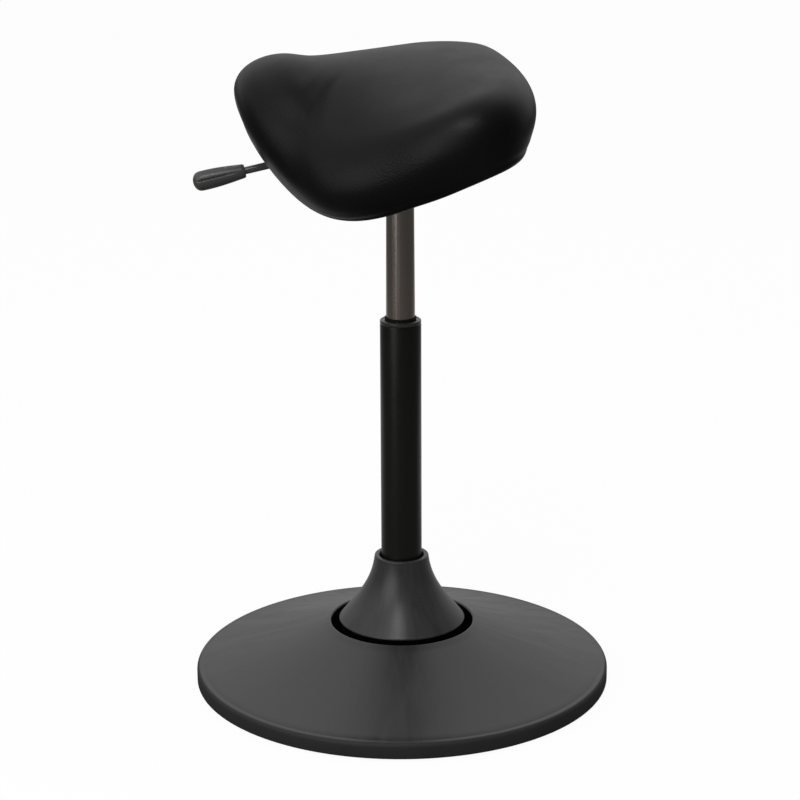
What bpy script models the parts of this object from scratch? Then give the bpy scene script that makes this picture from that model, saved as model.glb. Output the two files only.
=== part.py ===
# Saddle stool: a leaning, swivelling gas-spring stool on a round weighted base.
# The origin is on the floor under the column; +Z is up and the pommel of the seat points along -Y.

from math import cos, exp, pi, radians, sin, sqrt, tan

import bmesh
import bpy
from mathutils import Vector

MM = 0.001

# Clearances between neighbouring pieces
GAP = 0.3 * MM            # seated pieces
SLIDE_GAP = 0.35 * MM     # sliding and turning pieces

# Base
FLOOR_RING_HEIGHT = 4.0 * MM
FLOOR_RING_WIDTH = 24.0 * MM
PLATE_THICKNESS = 6.0 * MM
PLATE_BORE = 17.0 * MM            # radius of the middle hole
COVER_RADIUS = 205.5 * MM
COVER_WALL = 3.5 * MM
RIM_HEIGHT = 17.6 * MM            # where the dished top meets the rim, above the floor
RIM_ROUND = 4.4 * MM
RIM_FOOT = 2.0 * MM               # the rim stops this far above the floor
HOLE_RADIUS = 70.5 * MM
HOLE_HEIGHT = 60.0 * MM
HOLE_ROUND = 1.5 * MM
DISH_SAG = 2.6 * MM               # how far the top hangs below a straight cone
BOSS_RADIUS = 6.0 * MM
BOSS_CIRCLE = 140.0 * MM
BOSS_SINK = 0.8 * MM              # the boss's top lies this far inside the cover's wall
SCREW_COUNT = 4

# Screws of the base
COVER_SCREW_RADIUS = 2.2 * MM
COVER_SCREW_LENGTH = 17.0 * MM
MOUNT_SCREW_RADIUS = 3.0 * MM
HEAD_HEIGHT = 2.6 * MM
HEAD_OVERHANG = 2.3 * MM          # head radius past the shank

# Tilt mount
MOUNT_FOOT_RADIUS = 62.0 * MM
MOUNT_FOOT_THICKNESS = 4.0 * MM
MOUNT_SCREW_CIRCLE = 54.5 * MM
RUBBER_OUTER = 46.0 * MM
RUBBER_BORE = 24.0 * MM
RUBBER_HEIGHT = 14.0 * MM
RUBBER_WAIST = 1.5 * MM
INTERLEAF_THICKNESS = 3.0 * MM
HUB_FLANGE_RADIUS = 60.0 * MM
HUB_FLANGE_THICKNESS = 4.0 * MM
HUB_BORE = 14.0 * MM
HUB_SOCKET_HEIGHT = 46.0 * MM
HUB_WALL = 5.0 * MM

# Trumpet cover
TRUMPET_TOP = 128.5 * MM
TRUMPET_LIP_RADIUS = 26.8 * MM
TRUMPET_BORE_GAP = 1.8 * MM       # ring gap to the outer tube
TRUMPET_LIP_DEPTH = 12.0 * MM
TRUMPET_FOOT_RADIUS = 62.5 * MM
TRUMPET_SHOULDER_RADIUS = 54.0 * MM
TRUMPET_SHOULDER_RISE = 21.5 * MM     # shoulder above the trumpet's lower edge
TRUMPET_WALL = 2.8 * MM
TRUMPET_HEM_RISE = 9.3 * MM       # underside of the flared hem above the trumpet's lower edge
TRUMPET_HEM_ROUND = 1.2 * MM
TRUMPET_STEP = 4.3 * MM           # how far the skirt under the hem stands back

# Column tube
TUBE_RADIUS = 20.0 * MM
TUBE_WALL = 2.0 * MM
TUBE_TOP = 364.5 * MM
END_PLATE_THICKNESS = 4.0 * MM
BUSH_LENGTH = 66.0 * MM
BUSH_FLANGE = 3.5 * MM
WIPER_HEIGHT = 2.4 * MM
WIPER_WALL = 1.3 * MM

# Gas spring
ROD_RADIUS = 5.0 * MM
ROD_NECK_RADIUS = 4.0 * MM
ROD_TAIL = 4.0 * MM               # rod below its clip
CLIP_RADIUS = 10.0 * MM
CLIP_THICKNESS = 2.5 * MM
CLIP_SLOT = 5.0 * MM
RACE_THICKNESS = 2.0 * MM
RACE_RADIUS = 14.5 * MM
BALL_RADIUS = 2.0 * MM
SHOULDER_RADIUS = 9.0 * MM
SHOULDER_HEIGHT = 3.0 * MM
BUMP_HEIGHT = 15.0 * MM
BUMP_RADIUS = 12.0 * MM
STROKE_DOWN = 110.0 * MM
STROKE_UP = 90.0 * MM
STOP_GAP = 1.0 * MM               # left at both ends of the stroke
STEM_RADIUS = 14.0 * MM
STEM_TIP_RADIUS = 13.1 * MM
STEM_TAPER_START = 8.0 * MM       # above the bush flange
STEM_WALL = 2.5 * MM
STEM_CAP = 26.0 * MM
GLAND_LENGTH = 20.0 * MM
PISTON_LENGTH = 12.0 * MM
VALVE_LENGTH = 24.0 * MM
PIN_RADIUS = 4.0 * MM
PIN_IN_VALVE = 14.0 * MM
PIN_MARGIN = 1.2 * MM            # left below the pin when it is pressed home

# Seat mechanism
MECHANISM_TOP = 550.0 * MM        # upper face of the flange, above the floor
SHEET = 2.5 * MM
FLANGE_WIDTH = 72.0 * MM
FLANGE_LENGTH = 124.0 * MM
TRAY_WIDTH = 46.0 * MM
TRAY_LENGTH = 92.0 * MM
TRAY_DEPTH = 20.0 * MM            # from the flange's upper face to the tray's underside
SOCKET_LENGTH = 43.0 * MM
SOCKET_WALL = 4.0 * MM
SEAT_SCREW_RADIUS = 2.8 * MM
SEAT_SCREW_SPREAD = 26.0 * MM
SEAT_SCREW_EDGE = 7.0 * MM        # from the flange's end
SEAT_SCREW_GRIP = 5.0 * MM        # length held in the shell

# Lever
LEVER_RADIUS = 3.5 * MM
LEVER_ARM = 34.0 * MM             # pivot ahead of the column axis
LEVER_INNER = 8.0 * MM            # rod past the column axis
LEVER_REACH = 195.0 * MM          # tip of the grip ahead of the column axis
LEVER_DROOP = radians(11.7)
LEVER_LIFT = radians(5.0)         # how far the grip is pulled up
LEVER_SLEEVE_RADIUS = 5.0 * MM
LEVER_SLEEVE_LENGTH = 30.0 * MM
PIVOT_RADIUS = 2.5 * MM
PIVOT_HEAD = 1.5 * MM
GRIP_LENGTH = 49.7 * MM
GRIP_HEIGHT = 18.7 * MM
GRIP_WIDTH = 17.2 * MM
GRIP_COLLAR = 13.0 * MM
GRIP_WIDEST = 0.74                # where the grip is widest, as a share of its length
GRIP_DOME = 0.8                   # where its rounded end starts
GRIP_END_SHARE = 0.4              # size of the grip's flat end, as a share of its widest part
GRIP_END_WALL = 8.0 * MM

# Saddle: plan outline, ridge and flanks of the shell's upper surface
SEAT_FRONT = 141.0 * MM
SEAT_REAR = 117.0 * MM
SEAT_CENTRE = -8.5 * MM           # along Y
SEAT_HALF_WIDTH = 157.0 * MM
SEAT_FLARE = 0.52                 # share by which the rear is wider and the front narrower
SEAT_ROUNDING = 0.714             # 1 gives an ellipse, less a squarer outline
RIDGE_RISE = 22.0 * MM            # ridge of the shell over the column, above the mechanism's flange
RIDGE_SLOPE = 0.08
POMMEL_RISE = 9.5 * MM
POMMEL_AHEAD = 133.0 * MM
POMMEL_SPAN = 34.0 * MM
CANTLE_FALL = 35.0 * MM
CANTLE_START = 20.0 * MM
CANTLE_SPAN = 120.0 * MM
FLANK_ANGLE_FRONT = radians(48.75)
FLANK_ANGLE_REAR = radians(6.85)
RIDGE_RADIUS_FRONT = 28.0 * MM
RIDGE_RADIUS_REAR = 86.0 * MM
FOAM_THICKNESS = 56.5 * MM
FOAM_TOP_ROUND = 39.0 * MM
FOAM_LIP = 8.5 * MM               # the cushion's rim reaches this far below the shell's upper face
FOAM_LIP_ROUND = 8.0 * MM
FOAM_LIP_WIDTH = 17.0 * MM
FOAM_TUCK = 2.0 * MM              # drawn-in lower edge of the side
SHELL_THICKNESS = 6.0 * MM
BOSS_BITE = 3.0 * MM              # the shell's mounting boss ends inside the shell

# Facets
FINE = 64
ROUND = 36
SMALL = 20
TINY = 10
SEAT_STEPS = 42
UNDER_SHARES = (1.0, 0.75, 0.5, 0.3, 0.12)    # rings of the seat's underside, as shares of its outline
SMOOTH_ANGLE = radians(35)

# Heights that follow from the sizes above
plate_bottom = FLOOR_RING_HEIGHT + GAP
plate_top = plate_bottom + PLATE_THICKNESS
foot_bottom = plate_top + GAP
foot_top = foot_bottom + MOUNT_FOOT_THICKNESS
lower_rubber_bottom = foot_top + GAP
interleaf_bottom = lower_rubber_bottom + RUBBER_HEIGHT + GAP
interleaf_top = interleaf_bottom + INTERLEAF_THICKNESS
upper_rubber_bottom = interleaf_top + GAP
hub_bottom = upper_rubber_bottom + RUBBER_HEIGHT + GAP
hub_floor = hub_bottom + HUB_FLANGE_THICKNESS
tilt_height = (interleaf_bottom + interleaf_top) / 2
tube_bottom = hub_floor + GAP
end_plate_top = tube_bottom + END_PLATE_THICKNESS
lower_race_bottom = end_plate_top + GAP
balls_bottom = lower_race_bottom + RACE_THICKNESS + GAP
upper_race_bottom = balls_bottom + 2 * BALL_RADIUS + GAP
shoulder_bottom = upper_race_bottom + RACE_THICKNESS + GAP
bump_bottom = shoulder_bottom + SHOULDER_HEIGHT + GAP
stem_bottom = bump_bottom + BUMP_HEIGHT + STOP_GAP + STROKE_DOWN
piston_bottom = stem_bottom + GLAND_LENGTH + STROKE_UP + STOP_GAP
clip_top = tube_bottom - GAP
flange_bottom = TUBE_TOP + GAP
wiper_bottom = flange_bottom + BUSH_FLANGE + GAP
flange_under = MECHANISM_TOP - SHEET
tray_bottom = MECHANISM_TOP - TRAY_DEPTH
tray_floor = tray_bottom + SHEET
stem_top = tray_floor - GAP
pin_travel = (LEVER_ARM + PIN_RADIUS) * tan(LEVER_LIFT)
pin_room = pin_travel + PIN_MARGIN
lever_height = stem_top + pin_room + GAP + LEVER_RADIUS
socket_top = tray_bottom - GAP
ridge_level = MECHANISM_TOP + RIDGE_RISE

# Radii that follow
tube_bore = TUBE_RADIUS - TUBE_WALL
bush_radius = tube_bore - GAP
stem_bore = STEM_RADIUS - STEM_WALL
inner_radius = stem_bore - SLIDE_GAP
shell_inset = FOAM_LIP_WIDTH + GAP


def clear_scene():
    for old in list(bpy.data.objects):
        bpy.data.objects.remove(old, do_unlink=True)


def new_collection(name):
    made = bpy.data.collections.new(name)
    bpy.context.scene.collection.children.link(made)
    return made


def material(name, colour, roughness, metallic=0.0):
    made = bpy.data.materials.new(name)
    made.use_nodes = True
    shader = made.node_tree.nodes["Principled BSDF"]
    shader.inputs["Base Color"].default_value = (*colour, 1.0)
    shader.inputs["Roughness"].default_value = roughness
    shader.inputs["Metallic"].default_value = metallic
    made.diffuse_color = (*colour, 1.0)
    return made


def axis_empty(name, place, parent=None):
    """An empty on a joint's axis; place is in world metres."""
    made = bpy.data.objects.new(name, None)
    stool.objects.link(made)
    made.parent = parent
    made.location = Vector(place) - (world_place(parent) if parent else Vector())
    return made


def world_place(thing):
    place = thing.location.copy()
    while thing.parent:
        thing = thing.parent
        place += thing.location
    return place


def add_part(name, mesh, look, parent, place=(0, 0, 0)):
    """Link a mesh as a named piece under a joint's empty; place is in world metres."""
    made = bpy.data.objects.new(name, mesh)
    stool.objects.link(made)
    if look not in mesh.materials[:]:
        mesh.materials.append(look)
    made.parent = parent
    made.location = Vector(place) - world_place(parent)
    return made


def line_mesh(name, points, closed):
    mesh = bpy.data.meshes.new(name)
    edges = [(i, i + 1) for i in range(len(points) - 1)]
    if closed:
        edges.append((len(points) - 1, 0))
    mesh.from_pydata([(r, 0, z) for r, z in points], edges, [])
    return mesh


def turned(name, points, look, parent, place=(0, 0, 0), closed=True, steps=SMALL):
    """Turn a profile of (radius, height) points round Z; it runs down its outer side."""
    made = add_part(name, line_mesh(name, points, closed), look, parent, place)
    screw = made.modifiers.new("turn", "SCREW")
    screw.steps = steps
    screw.render_steps = steps
    screw.use_merge_vertices = True
    screw.merge_threshold = 0.01 * MM
    screw.use_smooth_shade = True
    return made


def ring(name, inner, outer, height, look, parent, place, steps=SMALL):
    points = [(outer, height), (outer, 0), (inner, 0), (inner, height)]
    return turned(name, points, look, parent, place, steps=steps)


def screw_piece(name, shank, length, look, parent, place, head_up):
    """A headed screw on Z whose head meets place with its underside."""
    head = shank + HEAD_OVERHANG
    if head_up:
        points = [(0, HEAD_HEIGHT), (head, HEAD_HEIGHT), (head, 0), (shank, 0), (shank, -length), (0, -length)]
    else:
        points = [(0, length), (shank, length), (shank, 0), (head, 0), (head, -HEAD_HEIGHT), (0, -HEAD_HEIGHT)]
    return turned(name, points, look, parent, place, closed=False, steps=TINY)


def tool_cylinder(name, radius, low, high, x=0.0, y=0.0, along="Z", steps=TINY):
    """A cutter or joining cylinder between two heights, or between two X places."""
    bpy.ops.mesh.primitive_cylinder_add(vertices=steps, radius=radius, depth=high - low)
    made = bpy.context.object
    made.name = name
    if along == "Z":
        made.location = (x, y, (low + high) / 2)
    else:
        made.rotation_euler = (0, pi / 2, 0)
        made.location = ((low + high) / 2, x, y)
    return as_tool(made)


def tool_box(name, size, centre):
    bpy.ops.mesh.primitive_cube_add(size=1)
    made = bpy.context.object
    made.name = name
    for vertex in made.data.vertices:
        vertex.co = [c * s for c, s in zip(vertex.co, size)]
    made.location = centre
    return as_tool(made)


def as_tool(made):
    for home in list(made.users_collection):
        home.objects.unlink(made)
    cutters.objects.link(made)
    made.hide_render = True
    made.display_type = "WIRE"
    return made


def combine(piece, tool, operation):
    step = piece.modifiers.new(operation.lower(), "BOOLEAN")
    step.operation = operation
    step.object = tool
    step.solver = "EXACT"


def loft(name, rings):
    """Join closed rings of equal length in order with triangles, and fan both ends to their middles."""
    mesh = bpy.data.meshes.new(name)
    build = bmesh.new()
    rows = [[build.verts.new(point) for point in points] for points in rings]
    count = len(rows[0])
    first = build.verts.new(sum(rings[0], Vector()) / count)
    last = build.verts.new(sum(rings[-1], Vector()) / count)
    for i in range(count):
        j = (i + 1) % count
        for low, high in zip(rows, rows[1:]):
            build.faces.new((low[i], low[j], high[j]))
            build.faces.new((low[i], high[j], high[i]))
        build.faces.new((first, rows[0][j], rows[0][i]))
        build.faces.new((last, rows[-1][i], rows[-1][j]))
    bmesh.ops.recalc_face_normals(build, faces=build.faces)
    build.to_mesh(mesh)
    build.free()
    mesh.shade_smooth()
    mesh.set_sharp_from_angle(angle=SMOOTH_ANGLE)
    return mesh


def bezier(a, b, c, d, steps):
    """Points of a cubic curve, both ends included."""
    made = []
    for i in range(steps + 1):
        t = i / steps
        weights = ((1 - t) ** 3, 3 * t * (1 - t) ** 2, 3 * t * t * (1 - t), t ** 3)
        made.append(tuple(sum(w * p[k] for w, p in zip(weights, (a, b, c, d))) for k in (0, 1)))
    return made


def arc(centre, radius, start, end, steps):
    """Points of an arc from one angle to another, both ends included."""
    angles = [start + (end - start) * i / steps for i in range(steps + 1)]
    return [(centre[0] + radius * cos(a), centre[1] + radius * sin(a)) for a in angles]


def inward(points, wall):
    """A line beside a profile that runs down its outer side, one wall thickness inside it."""
    made = []
    for i, (r, z) in enumerate(points):
        before = points[max(i - 1, 0)]
        after = points[min(i + 1, len(points) - 1)]
        run = Vector((after[0] - before[0], after[1] - before[1])).normalized()
        made.append((r + run.y * wall, z - run.x * wall))
    return made


def around(count, circle):
    """Places evenly round the axis, starting between X and Y."""
    angles = [2 * pi * (i + 0.5) / count for i in range(count)]
    return [(circle * cos(a), circle * sin(a)) for a in angles]


def dish_height(r):
    """Height of the base cover's top at a radius."""
    edge = COVER_RADIUS - RIM_ROUND
    t = (r - HOLE_RADIUS) / (edge - HOLE_RADIUS)
    return HOLE_HEIGHT + (RIM_HEIGHT - HOLE_HEIGHT) * t - 4 * DISH_SAG * t * (1 - t)


def ridge_height(y):
    pommel = POMMEL_RISE * exp(-((y + POMMEL_AHEAD) / POMMEL_SPAN) ** 2)
    cantle = CANTLE_FALL * max(0.0, (y - CANTLE_START) / CANTLE_SPAN) ** 2
    return ridge_level + RIDGE_SLOPE * y + pommel - cantle


def saddle_height(x, y):
    """Height of the shell's upper surface: a ridge whose flanks fall away, steeply in front."""
    t = (y - SEAT_CENTRE + SEAT_FRONT) / (SEAT_FRONT + SEAT_REAR)
    t = min(max(t, 0.0), 1.0)
    t = t * t * (3 - 2 * t)
    slope = tan(FLANK_ANGLE_FRONT) + (tan(FLANK_ANGLE_REAR) - tan(FLANK_ANGLE_FRONT)) * t
    radius = RIDGE_RADIUS_FRONT + (RIDGE_RADIUS_REAR - RIDGE_RADIUS_FRONT) * t
    return ridge_height(y) - slope * (sqrt(radius * radius + x * x) - radius)


def saddle_normal(x, y):
    step = 0.5 * MM
    across = (saddle_height(x + step, y) - saddle_height(x - step, y)) / (2 * step)
    along = (saddle_height(x, y + step) - saddle_height(x, y - step)) / (2 * step)
    return Vector((-across, -along, 1)).normalized()


def saddle_outline(angle):
    """A point of the seat's plan outline, measured from its centre; angle 0 is the rear."""
    rear = abs(cos(angle)) ** SEAT_ROUNDING * (1 if cos(angle) > 0 else -1)
    side = abs(sin(angle)) ** SEAT_ROUNDING * (1 if sin(angle) > 0 else -1)
    length = SEAT_REAR if rear > 0 else SEAT_FRONT
    return Vector((SEAT_HALF_WIDTH * side * (1 + SEAT_FLARE * rear), length * rear))


def saddle_ring(inset, share, height):
    """A ring of points inside the outline, at a height along the saddle's normals."""
    points = []
    for i in range(SEAT_STEPS):
        edge = saddle_outline(2 * pi * i / SEAT_STEPS)
        flat = edge * share * (1 - inset / edge.length)
        x, y = flat.x, flat.y + SEAT_CENTRE
        points.append(Vector((x, y, saddle_height(x, y))) + height * saddle_normal(x, y))
    return points


def foam_section():
    """The cushion's section as (inset, share, height), from its top round its side to its underside."""
    top = FOAM_THICKNESS
    section = [(FOAM_TOP_ROUND, share, top) for share in (0.12, 0.4, 0.68, 0.88, 1.0)]
    for i in range(1, 5):
        a = pi / 2 * i / 4
        section.append((FOAM_TOP_ROUND * (1 - sin(a)), 1, top - FOAM_TOP_ROUND * (1 - cos(a))))
    low = FOAM_LIP_ROUND - FOAM_LIP
    section.append((FOAM_TUCK * 0.4, 1, (top - FOAM_TOP_ROUND + low) / 2))
    for i in range(4):
        a = pi / 2 * i / 3
        section.append((FOAM_TUCK + FOAM_LIP_ROUND * (1 - cos(a)), 1, low - FOAM_LIP_ROUND * sin(a)))
    section.append((FOAM_LIP_WIDTH, 1, -FOAM_LIP))
    section.extend((FOAM_LIP_WIDTH, share, 0) for share in UNDER_SHARES)
    return section


def make_base():
    rim_inside = COVER_RADIUS - COVER_WALL
    edge = COVER_RADIUS - RIM_ROUND
    inner_edge = HOLE_RADIUS + HOLE_ROUND
    spans = [inner_edge + (edge - inner_edge) * i / 6 for i in range(7)]
    top = [(r, dish_height(r)) for r in spans]
    rim = arc((edge, RIM_HEIGHT - RIM_ROUND), RIM_ROUND, radians(72), 0, 3)
    collar = HOLE_RADIUS + COVER_WALL
    under = [r for r in spans[-2::-2] if r > collar]
    below = [(rim_inside, dish_height(edge) - RIM_ROUND)]
    below += [(r, dish_height(r) - COVER_WALL) for r in under]
    below += [(collar, dish_height(collar) - COVER_WALL)]
    hole_edge = [(HOLE_RADIUS, dish_height(HOLE_RADIUS) - HOLE_ROUND)]
    points = top[:-1] + rim + [(COVER_RADIUS, RIM_FOOT), (rim_inside, RIM_FOOT)]
    points += below + [(collar, foot_bottom), (HOLE_RADIUS, foot_bottom)] + hole_edge
    cover = turned("base_cover", points, base_plastic, base, steps=FINE)

    plate_radius = rim_inside - GAP
    ring_outer = plate_radius - RIM_ROUND
    plate = ring("base_plate", PLATE_BORE, plate_radius, PLATE_THICKNESS, steel, base,
                 (0, 0, plate_bottom), FINE)
    ring("floor_ring", ring_outer - FLOOR_RING_WIDTH, ring_outer, FLOOR_RING_HEIGHT, rubber, base,
         (0, 0, 0), FINE)

    head_seat = plate_bottom + HEAD_HEIGHT + GAP
    boss_top = dish_height(BOSS_CIRCLE + BOSS_RADIUS) - BOSS_SINK
    for i, (x, y) in enumerate(around(SCREW_COUNT, BOSS_CIRCLE), 1):
        boss = tool_cylinder(f"boss_{i}", BOSS_RADIUS, foot_bottom, boss_top, x, y)
        combine(cover, boss, "UNION")
        tip = head_seat + GAP + COVER_SCREW_LENGTH
        hole = COVER_SCREW_RADIUS + GAP
        pilot = tool_cylinder(f"pilot_{i}", hole, plate_bottom, tip + GAP, x, y)
        combine(cover, pilot, "DIFFERENCE")
        passage = tool_cylinder(f"passage_{i}", hole, RIM_FOOT, foot_bottom, x, y)
        recess_radius = COVER_SCREW_RADIUS + HEAD_OVERHANG + GAP
        recess = tool_cylinder(f"recess_{i}", recess_radius, RIM_FOOT, head_seat, x, y)
        combine(plate, passage, "DIFFERENCE")
        combine(plate, recess, "DIFFERENCE")
        screw_piece(f"cover_screw_{i}", COVER_SCREW_RADIUS, tip - head_seat + GAP, steel, base,
                    (x, y, head_seat - GAP), head_up=False)

    foot = ring("mount_foot", RUBBER_BORE, MOUNT_FOOT_RADIUS, MOUNT_FOOT_THICKNESS, steel, base,
                (0, 0, foot_bottom), ROUND)
    screw_length = foot_top - plate_bottom
    for i, (x, y) in enumerate(around(SCREW_COUNT, MOUNT_SCREW_CIRCLE), 1):
        hole = tool_cylinder(f"mount_hole_{i}", MOUNT_SCREW_RADIUS + GAP, RIM_FOOT, foot_top + GAP, x, y)
        combine(foot, hole, "DIFFERENCE")
        combine(plate, hole, "DIFFERENCE")
        screw_piece(f"mount_screw_{i}", MOUNT_SCREW_RADIUS, screw_length, steel, base,
                    (x, y, foot_top + GAP), head_up=True)


def rubber_ring(name, parent, bottom):
    middle = RUBBER_HEIGHT / 2
    points = [(RUBBER_OUTER, RUBBER_HEIGHT), (RUBBER_OUTER - RUBBER_WAIST, middle), (RUBBER_OUTER, 0),
              (RUBBER_BORE, 0), (RUBBER_BORE, RUBBER_HEIGHT)]
    turned(name, points, rubber, parent, (0, 0, bottom), steps=ROUND)


def make_tilt_mount():
    rubber_ring("lower_rubber", base, lower_rubber_bottom)
    ring("interleaf_ring", RUBBER_BORE, RUBBER_OUTER, INTERLEAF_THICKNESS, steel, tilt_x,
         (0, 0, interleaf_bottom), ROUND)
    rubber_ring("upper_rubber", tilt_x, upper_rubber_bottom)
    bore = TUBE_RADIUS + GAP
    outer = bore + HUB_WALL
    top = HUB_FLANGE_THICKNESS + HUB_SOCKET_HEIGHT
    points = [(outer, top), (outer, HUB_FLANGE_THICKNESS), (HUB_FLANGE_RADIUS, HUB_FLANGE_THICKNESS),
              (HUB_FLANGE_RADIUS, 0), (HUB_BORE, 0), (HUB_BORE, HUB_FLANGE_THICKNESS),
              (bore, HUB_FLANGE_THICKNESS), (bore, top)]
    turned("column_hub", points, tube_paint, tilt_y, (0, 0, hub_bottom), steps=ROUND)


def make_trumpet():
    bottom = tube_bottom
    lip_round = TRUMPET_WALL / 2
    lip = (TRUMPET_LIP_RADIUS, TRUMPET_TOP - lip_round)
    shoulder = (TRUMPET_SHOULDER_RADIUS, bottom + TRUMPET_SHOULDER_RISE)
    hem_low = bottom + TRUMPET_HEM_RISE
    hem = [(TRUMPET_FOOT_RADIUS - TRUMPET_HEM_ROUND * (1 - cos(radians(turn))),
            hem_low + TRUMPET_HEM_ROUND * (1 + sin(radians(turn)))) for turn in (42, 0, -45, -90)]
    drop = lip[1] - shoulder[1]
    spread = shoulder[0] - lip[0]
    neck = bezier(lip, (lip[0] + spread * 0.1, lip[1] - drop * 0.42),
                  (shoulder[0] - spread * 0.5, shoulder[1] + drop * 0.3), shoulder, 6)
    fall = shoulder[1] - hem[0][1]
    spread = hem[0][0] - shoulder[0]
    flare = bezier(shoulder, (shoulder[0] + spread * 0.37, shoulder[1] - fall * 0.34),
                   (hem[0][0] - spread * 0.27, hem[0][1] + fall * 0.25), hem[0], 3)
    outer = neck + flare[1:-1]
    bore = TUBE_RADIUS + TRUMPET_BORE_GAP
    low_lip = TRUMPET_TOP - TRUMPET_LIP_DEPTH
    skirt = TRUMPET_FOOT_RADIUS - TRUMPET_STEP
    within = skirt - TRUMPET_WALL
    inner = [(r, z) for r, z in inward(outer, TRUMPET_WALL)[::2] if z < low_lip and bore < r < within]
    lip_top = [(bore, TRUMPET_TOP - lip_round), (bore + lip_round, TRUMPET_TOP),
               (TRUMPET_LIP_RADIUS - lip_round, TRUMPET_TOP)]
    points = lip_top + outer + hem + [(skirt, hem_low), (skirt, bottom), (within, bottom), (within, hem_low)]
    points += list(reversed(inner)) + [(bore, low_lip)]
    turned("trumpet_cover", points, trumpet_plastic, tilt_y, steps=FINE)


def make_column():
    ring("outer_tube", tube_bore, TUBE_RADIUS, TUBE_TOP - tube_bottom, tube_paint, tilt_y,
         (0, 0, tube_bottom), ROUND)
    ring("tube_end_plate", ROD_RADIUS + SLIDE_GAP, tube_bore - GAP, END_PLATE_THICKNESS, steel, tilt_y,
         (0, 0, tube_bottom))
    ring("lower_race", ROD_RADIUS + SLIDE_GAP, RACE_RADIUS, RACE_THICKNESS, steel, tilt_y,
         (0, 0, lower_race_bottom))
    ball_circle = (RACE_RADIUS + ROD_RADIUS) / 2
    points = arc((ball_circle, BALL_RADIUS), BALL_RADIUS, pi / 2, -3 * pi / 2, 8)[:-1]
    turned("ball_ring", points, steel, tilt_y, (0, 0, balls_bottom))
    bore = STEM_RADIUS + SLIDE_GAP
    points = [(TUBE_RADIUS, BUSH_LENGTH + GAP + BUSH_FLANGE), (TUBE_RADIUS, BUSH_LENGTH + GAP),
              (bush_radius, BUSH_LENGTH + GAP), (bush_radius, 0), (bore, 0),
              (bore, BUSH_LENGTH + GAP + BUSH_FLANGE)]
    turned("guide_bush", points, black_plastic, tilt_y, (0, 0, TUBE_TOP - BUSH_LENGTH), steps=ROUND)
    ring("wiper_ring", bore, bore + WIPER_WALL, WIPER_HEIGHT, rubber, tilt_y, (0, 0, wiper_bottom), ROUND)


def make_rod():
    clip_bottom = clip_top - CLIP_THICKNESS
    neck_bottom = clip_bottom - GAP
    rod_top = piston_bottom + PISTON_LENGTH
    points = [(0, rod_top), (ROD_RADIUS, rod_top), (ROD_RADIUS, shoulder_bottom + SHOULDER_HEIGHT),
              (SHOULDER_RADIUS, shoulder_bottom + SHOULDER_HEIGHT), (SHOULDER_RADIUS, shoulder_bottom),
              (ROD_RADIUS, shoulder_bottom), (ROD_RADIUS, tube_bottom), (ROD_NECK_RADIUS, tube_bottom),
              (ROD_NECK_RADIUS, neck_bottom), (ROD_RADIUS, neck_bottom),
              (ROD_RADIUS, neck_bottom - ROD_TAIL), (0, neck_bottom - ROD_TAIL)]
    turned("piston_rod", points, bright_steel, swivel, closed=False)
    ring("upper_race", ROD_RADIUS + GAP, RACE_RADIUS, RACE_THICKNESS, steel, swivel, (0, 0, upper_race_bottom))
    ring("bump_stop", ROD_RADIUS + GAP, BUMP_RADIUS, BUMP_HEIGHT, rubber, swivel, (0, 0, bump_bottom))
    ring("piston", ROD_RADIUS + GAP, inner_radius, PISTON_LENGTH, bright_steel, swivel, (0, 0, piston_bottom))
    clip = ring("rod_clip", ROD_NECK_RADIUS + GAP, CLIP_RADIUS, CLIP_THICKNESS, steel, swivel, (0, 0, clip_bottom))
    mouth = tool_box("clip_mouth", (CLIP_RADIUS, CLIP_SLOT, 2 * CLIP_THICKNESS),
                     (CLIP_RADIUS / 2 + GAP, 0, clip_bottom + CLIP_THICKNESS / 2))
    combine(clip, mouth, "DIFFERENCE")


def stem_radius(z):
    start = flange_bottom + BUSH_FLANGE + STEM_TAPER_START
    t = min(max((z - start) / (stem_top - start), 0.0), 1.0)
    return STEM_RADIUS + (STEM_TIP_RADIUS - STEM_RADIUS) * t


def make_gas_cylinder():
    taper_start = flange_bottom + BUSH_FLANGE + STEM_TAPER_START
    cap_bottom = stem_top - STEM_CAP
    pin_hole = PIN_RADIUS + SLIDE_GAP
    points = [(pin_hole, stem_top), (STEM_TIP_RADIUS - GAP, stem_top), (STEM_TIP_RADIUS, stem_top - GAP),
              (STEM_RADIUS, taper_start), (STEM_RADIUS, stem_bottom), (stem_bore, stem_bottom),
              (stem_bore, cap_bottom), (pin_hole, cap_bottom)]
    turned("gas_cylinder", points, stem_steel, seat, steps=ROUND)
    ring("rod_gland", ROD_RADIUS + SLIDE_GAP, inner_radius, GLAND_LENGTH, black_plastic, seat,
         (0, 0, stem_bottom))
    valve_top = cap_bottom - GAP
    valve_bottom = valve_top - VALVE_LENGTH
    pin_floor = valve_top - PIN_IN_VALVE - pin_room
    points = [(pin_hole, valve_top), (inner_radius, valve_top), (inner_radius, valve_bottom),
              (0, valve_bottom)]
    points = [(0, pin_floor), (pin_hole, pin_floor)] + points
    turned("valve_body", points, bright_steel, seat, closed=False)
    pin_bottom = valve_top - PIN_IN_VALVE
    pin_top = lever_height - LEVER_RADIUS - GAP
    points = [(0, pin_top), (PIN_RADIUS, pin_top), (PIN_RADIUS, pin_bottom), (0, pin_bottom)]
    turned("release_pin", points, bright_steel, release, closed=False)


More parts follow.
